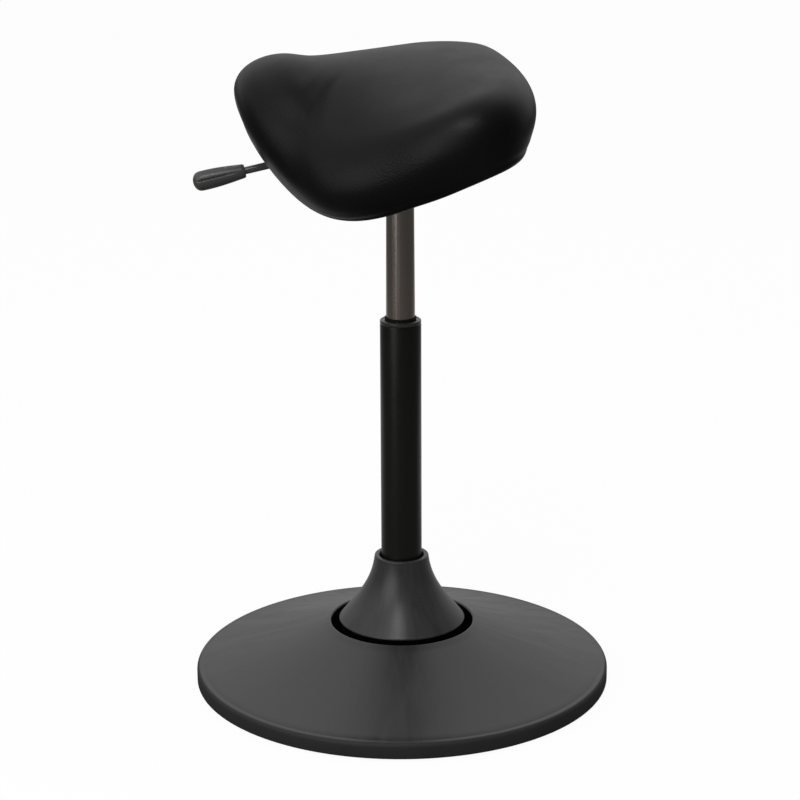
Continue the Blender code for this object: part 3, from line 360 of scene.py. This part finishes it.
# grip moulded in soft PVC, semi-gloss
gripPvc = plainFinish("softPvc", "#403f3f", "#494848", {"IOR": 1.53, "Specular IOR Level": 0.5},
                      patch=12, texture=0.9, strength=0.03, depth=0.02, smooth=0.34, rough=0.44)
# injection-moulded ABS shell with a leather-grain mould texture
shellAbs = plainFinish("texturedAbs", "#121212", "#191919", {"IOR": 1.53, "Specular IOR Level": 0.35},
                       patch=30, texture=1.1, strength=0.35, depth=0.1, smooth=0.5, rough=0.62)
# zinc-plated pressed steel: cool grey with a soft spangle
zincSteel = plainFinish("zincPlatedSteel", "#8f9296", "#a5a8ab", {"Metallic": 1.0},
                        patch=6, texture=0.8, strength=0.1, depth=0.02, smooth=0.3, rough=0.46)
# ground and turned steel: bright, with fine rings from the tool
groundSteel = plainFinish("groundSteel", "#b2b3b4", "#c6c6c6", {"Metallic": 1.0}, patch=5, texture=0.7,
                          strength=0.1, depth=0.01, smooth=0.14, rough=0.26, stretch=(0.1, 0.1, 1))
print("finishes mixed")


# modelling helpers
mergeLimit = 0.002 * mm


def startPiece(name):  # a small plane pulled together into one point at the origin, in edit mode
    bpy.ops.object.select_all(action="DESELECT")
    bpy.ops.mesh.primitive_plane_add(size=2 * mm, location=(0, 0, 0))
    piece = bpy.context.object
    piece.name = name
    piece.data.name = name
    bpy.ops.object.mode_set(mode="EDIT")
    bpy.ops.mesh.select_all(action="SELECT")
    bpy.ops.mesh.merge(type="CENTER")
    return piece


def mergeAndTurnOut():  # in edit mode: doubles merged, faces outwards, back to object mode
    bpy.ops.mesh.select_all(action="SELECT")
    bpy.ops.mesh.remove_doubles(threshold=mergeLimit)
    bpy.ops.mesh.normals_make_consistent(inside=False)
    bpy.ops.object.mode_set(mode="OBJECT")


def turnProfile(name, points, steps, sharp=28):  # a closed profile of (radius, height) in mm, spun about Z
    points = [(r * mm, z * mm) for r, z in points]
    piece = startPiece(name)
    bpy.ops.transform.translate(value=(points[0][0], 0, points[0][1]))
    for before, after in zip(points, points[1:] + points[:1]):
        step = (after[0] - before[0], 0, after[1] - before[1])
        bpy.ops.mesh.extrude_vertices_move(TRANSFORM_OT_translate={"value": step})
    bpy.ops.mesh.select_all(action="SELECT")
    bpy.ops.mesh.spin(steps=steps, angle=2 * math.pi, center=(0, 0, 0), axis=(0, 0, 1))
    mergeAndTurnOut()
    bpy.ops.object.shade_smooth_by_angle(angle=math.radians(sharp))
    return piece


def arcPoints(centre, radius, start, end, steps):  # angles in degrees, both ends included
    turns = [math.radians(start + (end - start) * i / steps) for i in range(steps + 1)]
    return [(centre[0] + radius * math.cos(a), centre[1] + radius * math.sin(a)) for a in turns]


def bezierPoints(a, b, c, d, steps):
    made = []
    for i in range(steps + 1):
        t = i / steps
        weights = ((1 - t) ** 3, 3 * t * (1 - t) ** 2, 3 * t * t * (1 - t), t ** 3)
        made.append(tuple(sum(w * p[k] for w, p in zip(weights, (a, b, c, d))) for k in (0, 1)))
    return made


def insetProfile(points, wall):  # a line one wall inside a profile that runs down its outer side
    made = []
    for i, (r, z) in enumerate(points):
        before, after = points[max(i - 1, 0)], points[min(i + 1, len(points) - 1)]
        run = Vector((after[0] - before[0], after[1] - before[1])).normalized()
        made.append((r + run.y * wall, z - run.x * wall))
    return made


def meshPiece(name, build):  # a new object from a built mesh, selected and active
    mesh = bpy.data.meshes.new(name)
    build.to_mesh(mesh)
    build.free()
    piece = bpy.data.objects.new(name, mesh)
    bpy.context.scene.collection.objects.link(piece)
    bpy.ops.object.select_all(action="DESELECT")
    piece.select_set(True)
    bpy.context.view_layer.objects.active = piece
    return piece


def bridgeRows(build, rows):  # quads between closed rings of as many points
    count = len(rows[0])
    for low, high in zip(rows, rows[1:]):
        for i in range(count):
            j = (i + 1) % count
            build.faces.new((low[i], low[j], high[j], high[i]))


def fitPiece(piece, look, body, slot, *replaced):
    piece.data.materials.clear()
    piece.data.materials.append(look)
    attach(piece, body)
    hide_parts(*replaced)


def joinSolid(piece, tool, operation):  # boolean with a tool that is used up
    bpy.ops.object.select_all(action="DESELECT")
    bpy.context.view_layer.objects.active = piece
    piece.select_set(True)
    cut = piece.modifiers.new(operation.lower(), "BOOLEAN")
    cut.operation = operation
    cut.object = tool
    cut.solver = "EXACT"
    bpy.ops.object.modifier_apply(modifier=cut.name)
    bpy.data.objects.remove(tool)


# base cover, sizes in mm; the bead's points are (in from the rim's edge, above the rim)
baseCover = {
    "radius": 205.5, "wall": 3.5, "rimHeight": 17.6, "rimRound": 4.4, "rimFoot": 2.0, "footRound": 0.8,
    "hole": 70.5, "holeHeight": 60.0, "holeRound": 1.8, "holeBead": 0.6, "lipLand": 1.6, "collarFoot": 10.6,
    "beadStart": 3.5, "beadSink": 0.2, "bead": ((2.5, 0.25), (1.7, -0.02)), "beadLand": 4.0,
    "sag": 2.6, "spans": 28, "steps": 192, "paintedShadeBelow": 3.0, "grainBelow": 0.5,
}


def dishHeight(radius):
    edge = baseCover["radius"] - baseCover["rimRound"]
    t = (radius - baseCover["hole"]) / (edge - baseCover["hole"])
    fall = (baseCover["rimHeight"] - baseCover["holeHeight"]) * t
    return baseCover["holeHeight"] + fall - 4 * baseCover["sag"] * t * (1 - t)


def makeBaseCover():
    c = baseCover
    edge, inside, collar = c["radius"] - c["rimRound"], c["radius"] - c["wall"], c["hole"] + c["wall"]
    start = c["hole"] + c["holeRound"]
    spans = [start + (edge - start) * i / c["spans"] for i in range(c["spans"] + 1)]
    lip = arcPoints((start, dishHeight(start) - c["holeRound"] + c["holeBead"]), c["holeRound"], 180, 62, 7)
    dish = [(r, dishHeight(r)) for r in spans if start + c["lipLand"] < r < edge - c["beadLand"]]
    bead = [(edge - c["beadStart"], dishHeight(edge - c["beadStart"]) - c["beadSink"])]
    bead += [(edge - back, c["rimHeight"] + rise) for back, rise in c["bead"]]
    rim = arcPoints((edge, c["rimHeight"] - c["rimRound"]), c["rimRound"], 102, 0, 10)
    foot = arcPoints((c["radius"] - c["footRound"], c["rimFoot"] + c["footRound"]), c["footRound"], 0, -90, 3)
    under = [(r, dishHeight(r) - c["wall"]) for r in spans[-4::-4] if r > collar]
    points = lip + dish + bead + rim + foot + [(inside, c["rimFoot"])]
    points += [(inside, dishHeight(edge) - c["rimRound"])] + under
    points += [(collar, dishHeight(collar) - c["wall"]), (collar, c["collarFoot"]), (c["hole"], c["collarFoot"])]
    piece = turnProfile("baseCover", points, c["steps"])
    fitPiece(piece, basePlastic, "base", "base_plastic", "base_cover")
    # painted shade: the hole's inner wall below its top gets the near-black gap colour, darker than the moulding
    piece.data.materials.append(mattPaintedShade)
    piece.data.materials.append(rimPlastic)
    for face in piece.data.polygons:
        middle = face.center / mm
        if middle.xy.length < c["hole"] + 0.2 and middle.z < c["holeHeight"] - c["paintedShadeBelow"]:
            face.material_index = 1
        elif middle.xy.length > edge and middle.z < c["rimHeight"] - c["grainBelow"]:
            face.material_index = 2


# boot round the foot of the column, sizes in mm; the neck's pulls are shares of its spread and drop
boot = {
    "bottom": 51.1, "top": 128.5, "lip": 26.8, "bore": 21.8, "lipDepth": 12.0, "wall": 2.8, "foot": 62.5,
    "shoulder": (54.0, 72.6), "lipPull": (0.1, 0.42), "shoulderPull": (0.5, 0.3), "flareStart": (3.0, 3.5),
    "flareEnd": (2.2, 2.5), "hem": 62.2, "hemRound": 1.2, "skirt": 58.2, "steps": 160,
}


def makeBoot():
    b = boot
    lipRound = b["wall"] / 2
    lip, shoulder = (b["lip"], b["top"] - lipRound), b["shoulder"]
    drop, spread = lip[1] - shoulder[1], shoulder[0] - lip[0]
    neck = bezierPoints(lip, (lip[0] + spread * b["lipPull"][0], lip[1] - drop * b["lipPull"][1]),
                        (shoulder[0] - spread * b["shoulderPull"][0], shoulder[1] + drop * b["shoulderPull"][1]),
                        shoulder, 26)
    hemCentre = (b["foot"] - b["hemRound"], b["hem"] - b["hemRound"] * 0.5)
    hem = arcPoints(hemCentre, b["hemRound"], 42, -90, 8)
    hemTop, hemLow = hem[0], hem[-1][1]
    flare = bezierPoints(shoulder, (shoulder[0] + b["flareStart"][0], shoulder[1] - b["flareStart"][1]),
                         (hemTop[0] - b["flareEnd"][0], hemTop[1] + b["flareEnd"][1]), hemTop, 8)
    outer = neck + flare[1:-1]
    lowLip, within = b["top"] - b["lipDepth"], b["skirt"] - b["wall"]
    inner = [(r, z) for r, z in insetProfile(outer, b["wall"])[::3] if z < lowLip and b["bore"] < r < within]
    lipTop = arcPoints((b["bore"] + lipRound, b["top"] - lipRound), lipRound, 180, 90, 5)
    lipTop += arcPoints((b["lip"] - lipRound, b["top"] - lipRound), lipRound, 90, 8, 5)
    skirt = [(b["skirt"], hemLow), (b["skirt"], b["bottom"]), (within, b["bottom"])]
    points = lipTop + outer + hem + skirt + inner[::-1] + [(b["bore"], lowLip)]
    piece = turnProfile("columnBoot", points, b["steps"])
    fitPiece(piece, bootPlastic, "column", "trumpet_plastic", "trumpet_cover")
    # painted shade: the skirt and the hem's underside get the near-black gap colour, darker than the boot
    piece.data.materials.append(mattPaintedShade)
    for face in piece.data.polygons:
        middle = face.center / mm
        if middle.z < hemLow + 0.05 and middle.xy.length < b["skirt"] + 1.5:  # the skirt and what is under the hem
            face.material_index = 1


# rubbers of the tilt mount, bonded to a plate at each end, sizes in mm
mountRubber = {"outer": 46.0, "bore": 24.0, "waist": 1.5, "boreWaist": 0.8, "edge": 0.5, "rows": 12, "steps": 128}


def makeRubber(name, node):
    r = mountRubber
    low, high = [corner[2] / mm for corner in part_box(node)]
    height, edge = high - low, r["edge"]
    levels = [edge + (height - 2 * edge) * i / r["rows"] for i in range(r["rows"] + 1)]
    outside = [(r["outer"] - r["waist"] * math.sin(math.pi * level / height), low + level) for level in levels]
    inside = [(r["bore"] + r["boreWaist"] * math.sin(math.pi * level / height), low + level) for level in levels]
    points = [(r["bore"] + edge, low), (r["outer"] - edge, low)] + outside
    points += [(r["outer"] - edge, high), (r["bore"] + edge, high)] + inside[::-1]
    piece = turnProfile(name, points, r["steps"])
    piece.data.materials.append(softRubber)
    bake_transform(piece)
    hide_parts(node)


# column: outer tube, guide bush and wiper, sizes in mm
tube = {"radius": 20.0, "bore": 18.0, "bottom": 51.1, "top": 364.5, "edge": 0.7, "steps": 128}
bush = {
    "bore": 14.35, "shank": 17.7, "low": 298.5, "flangeLow": 364.8, "flangeTop": 368.3, "lowRound": 0.4,
    "lowLand": 0.5, "topRound": 1.1,
    # the flange's face from the rim inwards, as (radius, height): a shallow groove, then a bead round the wiper
    "face": ((18.4, 0.0), (18.1, -0.35), (17.5, -0.35), (17.2, 0.0), (16.9, 0.1), (16.2, 0.1), (15.9, -0.1)),
    "steps": 128,
}
wiper = {"bore": 14.35, "outer": 15.65, "low": 368.6, "top": 371.0, "round": 0.4, "steps": 128}


def makeColumn():
    radius, edge = tube["radius"], tube["edge"]
    points = [(radius, tube["bottom"])]
    points += arcPoints((radius - edge, tube["top"] - edge), edge, 0, 90, 5)
    points += [(tube["bore"], tube["top"]), (tube["bore"], tube["bottom"])]
    piece = turnProfile("columnTube", points, tube["steps"])
    fitPiece(piece, tubePaint, "column", "black_paint", "outer_tube")

    b = bush
    top, low = b["flangeTop"], b["flangeLow"]
    points = [(b["bore"], b["low"]), (b["shank"], b["low"]), (b["shank"], low), (radius - b["lowLand"], low)]
    points += arcPoints((radius - b["lowRound"], low + b["lowRound"]), b["lowRound"], -60, 0, 3)
    points += arcPoints((radius - b["topRound"], top - b["topRound"]), b["topRound"], 0, 90, 6)
    points += [(r, top + rise) for r, rise in b["face"]] + [(b["bore"], top + b["face"][-1][1])]
    piece = turnProfile("guideBush", points, b["steps"])
    fitPiece(piece, bushAcetal, "column", "black_plastic", "guide_bush")

    # a waisted collar with a rounded top and a lip that touches the stem
    inner, outer, foot, head = wiper["bore"], wiper["outer"], wiper["low"], wiper["top"]
    points = [(inner + 0.3, foot), (outer - 0.5, foot), (outer - 0.35, foot + 0.8)]
    points += arcPoints((outer - wiper["round"], head - 0.5), wiper["round"], 0, 90, 4)
    points += [(inner, head - 0.3), (inner + 0.25, head - 0.9)]
    piece = turnProfile("wiperRing", points, wiper["steps"])
    fitPiece(piece, softRubber, "column", "black_rubber", "wiper_ring")


# lever: bent bar with a sleeve on the pivot, sizes in mm
lever = {
    "pivot": (0.0, -34.0, 540.525), "droop": 11.7, "barRadius": 3.5, "inner": 42.0, "bend": 10.5, "bendHandle": 6.0,
    "length": 164.4, "endWall": 8.0, "sleeveRadius": 5.0, "sleeveLength": 30.0, "pinHole": 2.85, "sharp": 35,
}
# fluted grip, sizes in mm; what starts, ends and eases is a share of its length
grip = {
    "length": 49.7, "collar": 13.0, "height": 18.7, "width": 17.2, "boreGap": 0.3, "chamfer": 0.7, "chamferLength": 0.9,
    "widest": 0.74, "swellPower": 1.1, "dome": 0.8, "domeClose": 0.985, "rings": 40, "ringPower": 1.5,
    "flutes": 6, "fluteTurn": 11.0, "fluteDepth": 1.4, "fluteWidth": 0.75, "fluteStart": 0.14, "fluteEaseIn": 0.3,
    "fluteEnd": 0.94, "fluteEaseOut": 0.06, "flutePoints": 36, "sharp": 60,
}


def leverPoint(along, side=0.0, up=0.0):  # a place on the outer bar, in metres
    droop = math.radians(lever["droop"])
    x, y, z = lever["pivot"]
    return Vector((x + side, y - along * math.cos(droop) - up * math.sin(droop),
                   z - along * math.sin(droop) + up * math.cos(droop))) * mm


def makeLeverBar():
    v = lever
    pivot = Vector(v["pivot"]) * mm
    bpy.ops.object.select_all(action="DESELECT")
    bpy.ops.curve.primitive_bezier_curve_add(location=(0, 0, 0))
    bar = bpy.context.object
    bar.name = "leverBar"
    line = bar.data.splines[0]
    line.bezier_points.add(2)
    stops = [pivot + Vector((0, v["inner"] * mm, 0)), pivot + Vector((0, v["bend"] * mm, 0)),
             leverPoint(v["bend"]), leverPoint(v["length"] - v["endWall"])]
    for point, stop in zip(line.bezier_points, stops):
        point.co = stop
        point.handle_left_type = point.handle_right_type = "VECTOR"
    reach = Vector((0, v["bendHandle"] * mm, 0))
    handles = [(stops[1] + reach, stops[1] - reach),
               (leverPoint(v["bend"] - v["bendHandle"]), leverPoint(v["bend"] + v["bendHandle"]))]
    for point, (left, right) in zip(line.bezier_points[1:3], handles):  # a soft bend over the pivot
        point.handle_left_type = point.handle_right_type = "FREE"
        point.handle_left, point.handle_right = left, right
    bar.data.dimensions = "3D"
    bar.data.resolution_u = 10
    bar.data.bevel_depth = v["barRadius"] * mm
    bar.data.bevel_resolution = 7
    bar.data.use_fill_caps = True
    bpy.ops.object.convert(target="MESH")
    bpy.ops.object.mode_set(mode="EDIT")
    mergeAndTurnOut()
    for radius, length, operation in ((v["sleeveRadius"], v["sleeveLength"], "UNION"),
                                      (v["pinHole"], 2 * v["sleeveLength"], "DIFFERENCE")):
        bpy.ops.object.select_all(action="DESELECT")
        bpy.ops.mesh.primitive_cylinder_add(vertices=40, radius=radius * mm, depth=length * mm, location=pivot,
                                            rotation=(0, math.pi / 2, 0))
        joinSolid(bar, bpy.context.object, operation)
    bpy.ops.object.shade_smooth_by_angle(angle=math.radians(v["sharp"]))
    fitPiece(bar, leverEnamel, "lever", "lever_paint", "lever_rod")


def gripSections():  # (along the bar, half width, half height, share of the flutes' depth)
    v, g = lever, grip
    start, bore = v["length"] - g["length"], v["barRadius"] + g["boreGap"]
    mouth = g["collar"] / 2 - g["chamfer"]
    sections = [(v["length"] - v["endWall"] + g["boreGap"], bore, bore, 0), (start, bore, bore, 0),
                (start, mouth, mouth, 0)]
    for i in range(g["rings"] + 1):
        share = 1 - (1 - i / g["rings"]) ** g["ringPower"]
        swell = math.sin(math.pi / 2 * min(share / g["widest"], 1.0)) ** g["swellPower"]
        past = max(0.0, share - g["dome"]) / (1 - g["dome"])
        close = math.sqrt(max(0.0, 1 - g["domeClose"] * past ** 3))
        chamfer = g["chamfer"] * max(0.0, 1 - share * g["length"] / g["chamferLength"])
        width = (g["collar"] + (g["width"] - g["collar"]) * swell) * close / 2 - chamfer
        height = (g["collar"] + (g["height"] - g["collar"]) * swell) * close / 2 - chamfer
        press = min(1.0, max(0.0, (share - g["fluteStart"]) / g["fluteEaseIn"]))
        press *= min(1.0, max(0.0, (g["fluteEnd"] - share) / g["fluteEaseOut"]))
        sections.append((start + g["length"] * share, width, height, press))
    return sections


def makeLeverGrip():  # rings along the bar, swelling towards its end, with the flutes pressed in
    g = grip
    sides = g["flutes"] * g["flutePoints"]
    build = bmesh.new()
    rows = []
    for along, width, height, press in gripSections():
        row = []
        for i in range(sides):
            a = 2 * math.pi * i / sides
            off = ((a - math.radians(g["fluteTurn"])) * g["flutes"] / (2 * math.pi) + 0.5) % 1 - 0.5
            arc = off * 2 * math.pi / g["flutes"] * width  # from the nearest groove's middle
            cut = press * g["fluteDepth"] * math.exp(-(arc / g["fluteWidth"]) ** 2)
            row.append(build.verts.new(leverPoint(along, (width - cut) * math.cos(a), (height - cut) * math.sin(a))))
        rows.append(row)
    bridgeRows(build, rows)
    build.faces.new(rows[0])
    build.faces.new(rows[-1])
    bmesh.ops.recalc_face_normals(build, faces=build.faces)
    piece = meshPiece("leverGrip", build)
    bpy.ops.object.shade_smooth_by_angle(angle=math.radians(g["sharp"]))
    fitPiece(piece, gripPvc, "lever", "black_plastic", "lever_grip")


# saddle cushion, sizes in mm
saddle = {
    "ridge": 571.6, "ridgeSlope": 0.1, "pommelRise": 12.4, "pommelAhead": 133.0, "pommelSpan": 35.0,
    "cantleFall": 35.0, "cantleStart": 20.0, "cantleSpan": 120.0,
    "flankFront": 48.75, "flankRear": 6.85, "ridgeRoundFront": 28.0, "ridgeRoundRear": 86.0,
    "centre": -8.5, "front": 141.4, "rear": 117.4, "halfWidth": 157.0, "flare": 0.52, "rounding": 0.698,
    "thickness": 56.5, "topRound": 39.0, "lip": 8.5, "lipRound": 8.0, "tuck": 2.0, "sideTuck": 0.4,
    "lipWidth": 17.0, "lipEdge": 3.0, "lipStep": 0.8,
    "grid": 44, "roundSteps": 12, "sideSteps": 4, "lipSteps": 6, "heldRings": 6,
}
coverCloth = {  # the start is smaller and the moves are capped, in mm
    "startSmaller": 1.4, "pressure": 4.0, "quality": 6, "stiffness": 40.0, "bending": 2.0, "frames": 20,
    "mostMove": 3.0, "evenOut": 12,
}


def saddleHeight(x, y):
    s = saddle
    t = min(max((y - s["centre"] + s["front"]) / (s["front"] + s["rear"]), 0.0), 1.0)
    t = t * t * (3 - 2 * t)
    steep, flat = math.tan(math.radians(s["flankFront"])), math.tan(math.radians(s["flankRear"]))
    slope = steep + (flat - steep) * t
    bend = s["ridgeRoundFront"] + (s["ridgeRoundRear"] - s["ridgeRoundFront"]) * t
    ridge = s["ridge"] + s["ridgeSlope"] * y
    ridge += s["pommelRise"] * math.exp(-((y + s["pommelAhead"]) / s["pommelSpan"]) ** 2)
    ridge -= s["cantleFall"] * max(0.0, (y - s["cantleStart"]) / s["cantleSpan"]) ** 2
    return ridge - slope * (math.sqrt(bend * bend + x * x) - bend)


def saddlePoint(turn, inset, share, height):  # a place over the saddle's surface, height square to it
    s = saddle
    rear = math.copysign(abs(math.cos(turn)) ** s["rounding"], math.cos(turn))
    side = math.copysign(abs(math.sin(turn)) ** s["rounding"], math.sin(turn))
    reach = s["rear"] if rear > 0 else s["front"]
    edge = Vector((s["halfWidth"] * side * (1 + s["flare"] * rear), reach * rear))
    flat = edge * share * (1 - inset / edge.length)
    x, y = flat.x, flat.y + s["centre"]
    across = saddleHeight(x + 0.5, y) - saddleHeight(x - 0.5, y)
    along = saddleHeight(x, y + 0.5) - saddleHeight(x, y - 0.5)
    return Vector((x, y, saddleHeight(x, y))) + height * Vector((-across, -along, 1)).normalized()


def saddleSides(smaller):  # (inset, height) from the edge of the top round the side to the lip's inner edge
    s = saddle
    top, bulge = s["thickness"] - smaller, s["topRound"]
    section = []
    for i in range(1, s["roundSteps"] + 1):
        a = math.pi / 2 * i / s["roundSteps"]
        section.append((bulge * (1 - math.sin(a)) + smaller * math.sin(a), top - bulge * (1 - math.cos(a))))
    low = s["lipRound"] - s["lip"]
    side = top - bulge
    for i in range(1, s["sideSteps"]):
        section.append((s["tuck"] * s["sideTuck"] * i / s["sideSteps"] + smaller,
                        side + (low - side) * i / s["sideSteps"]))
    for i in range(s["lipSteps"] + 1):
        a = math.pi / 2 * i / s["lipSteps"]
        section.append((s["tuck"] + s["lipRound"] * (1 - math.cos(a)) + smaller * max(0.0, 1 - 2 * i / s["lipSteps"]),
                        low - s["lipRound"] * math.sin(a)))
    return section + [(s["lipWidth"] - s["lipEdge"], -s["lip"]), (s["lipWidth"], -s["lip"] + s["lipStep"]),
                      (s["lipWidth"], -s["lip"] * 0.5)]


def discPlace(u, v):  # a point of a square from -1 to 1, pressed onto a disc, as (turn, share)
    if u == 0 and v == 0:
        return 0.0, 0.0
    if abs(u) > abs(v):
        return math.pi / 4 * v / u + (math.pi if u < 0 else 0.0), abs(u)
    return math.pi / 2 - math.pi / 4 * u / v + (math.pi if v < 0 else 0.0), abs(v)


def cushionStart():  # a grid for the top, rings for the side and a grid for the underside: quads, with no pole
    s = saddle
    n, smaller = s["grid"], coverCloth["startSmaller"]
    build = bmesh.new()
    steps = [2 * i / n - 1 for i in range(n + 1)]
    around = [(n, j) for j in range(n)] + [(n - i, n) for i in range(n)]
    around += [(0, n - j) for j in range(n)] + [(i, 0) for i in range(n)]

    def patch(inset, height):
        made = {}
        for i, u in enumerate(steps):
            for j, v in enumerate(steps):
                turn, share = discPlace(u, v)
                made[i, j] = build.verts.new(saddlePoint(turn, inset, share, height) * mm)
        for i in range(n):
            for j in range(n):
                build.faces.new((made[i, j], made[i + 1, j], made[i + 1, j + 1], made[i, j + 1]))
        return [made[place] for place in around]

    rows = [patch(s["topRound"], s["thickness"] - smaller)]
    turns = [discPlace(steps[i], steps[j])[0] for i, j in around]
    for inset, height in saddleSides(smaller):
        rows.append([build.verts.new(saddlePoint(turn, inset, 1, height) * mm) for turn in turns])
    firstHeld = len(build.verts) - s["heldRings"] * len(around)
    rows.append(patch(s["lipWidth"], 0.0))
    bridgeRows(build, rows)
    bmesh.ops.recalc_face_normals(build, faces=build.faces)
    return meshPiece("saddleCushion", build), firstHeld


def swellCover(cushion, held):  # the cover as cloth over foam that presses out
    c = coverCloth
    before = [vertex.co.copy() for vertex in cushion.data.vertices]
    cloth = cushion.modifiers.new("cover", "CLOTH")
    cloth.settings.quality = c["quality"]
    cloth.settings.use_pressure = True
    cloth.settings.uniform_pressure_force = c["pressure"]
    cloth.settings.effector_weights.gravity = 0.0
    cloth.settings.vertex_group_mass = held.name
    cloth.settings.tension_stiffness = cloth.settings.compression_stiffness = c["stiffness"]
    cloth.settings.bending_stiffness = c["bending"]
    cloth.point_cache.frame_start, cloth.point_cache.frame_end = 1, c["frames"]
    for number in range(1, c["frames"] + 1):
        bpy.context.scene.frame_set(number)
    bpy.ops.object.modifier_apply(modifier=cloth.name)
    bpy.context.scene.frame_set(1)
    moves = []
    for vertex, old in zip(cushion.data.vertices, before):
        move = vertex.co - old
        moves.append(move * min(1.0, c["mostMove"] * mm / max(move.length, 1e-9)))
    beside = [[] for move in moves]
    for edge in cushion.data.edges:
        beside[edge.vertices[0]].append(edge.vertices[1])
        beside[edge.vertices[1]].append(edge.vertices[0])
    for turn in range(c["evenOut"]):  # a taut cover: no wrinkle is left from the swelling
        moves = [move * 0.5 + sum((moves[k] for k in near), Vector()) * (0.5 / len(near))
                 for move, near in zip(moves, beside)]
    for vertex, old, move in zip(cushion.data.vertices, before, moves):
        vertex.co = old + move
    swell = [move.length / mm for move in moves]
    print("cushion swelled: mean %.1f mm, most %.1f mm" % (sum(swell) / len(swell), max(swell)))


def makeCushion():
    cushion, firstHeld = cushionStart()
    held = cushion.vertex_groups.new(name="underside")  # the lip's rings and the underside, held by the shell
    held.add(list(range(firstHeld, len(cushion.data.vertices))), 1.0, "REPLACE")
    swellCover(cushion, held)
    finer = cushion.modifiers.new("finer", "SUBSURF")
    finer.levels = finer.render_levels = 1
    bpy.ops.object.modifier_apply(modifier=finer.name)
    bpy.ops.object.shade_smooth()
    fitPiece(cushion, leather, "seat", "leather", "seat_cushion")


# finishes for the CAD nodes that keep their shape; zinc-plated steel for those not listed
finishOfNode = {
    shellAbs: ["seat_shell", "rod_gland"],
    tubePaint: ["seat_socket", "mechanism_plate"],
    hubPhosphate: ["column_hub"],
    stemSteel: ["gas_cylinder"],
    softRubber: ["floor_ring", "bump_stop"],
    groundSteel: ["piston_rod", "piston", "valve_body", "release_pin", "pivot_pin", "ball_ring"],
}


def dressNodes():
    chosen = {name: look for look, names in finishOfNode.items() for name in names}
    for name, node in nodes.items():
        node.data.materials.clear()
        node.data.materials.append(chosen.get(name, zincSteel))


dressNodes()
makeBaseCover()
makeBoot()
makeRubber("lowerRubber", "lower_rubber")
makeRubber("upperRubber", "upper_rubber")
makeColumn()
print("base, boot and column turned")
makeLeverBar()
makeLeverGrip()
print("lever made")
makeCushion()
print("cushion made")
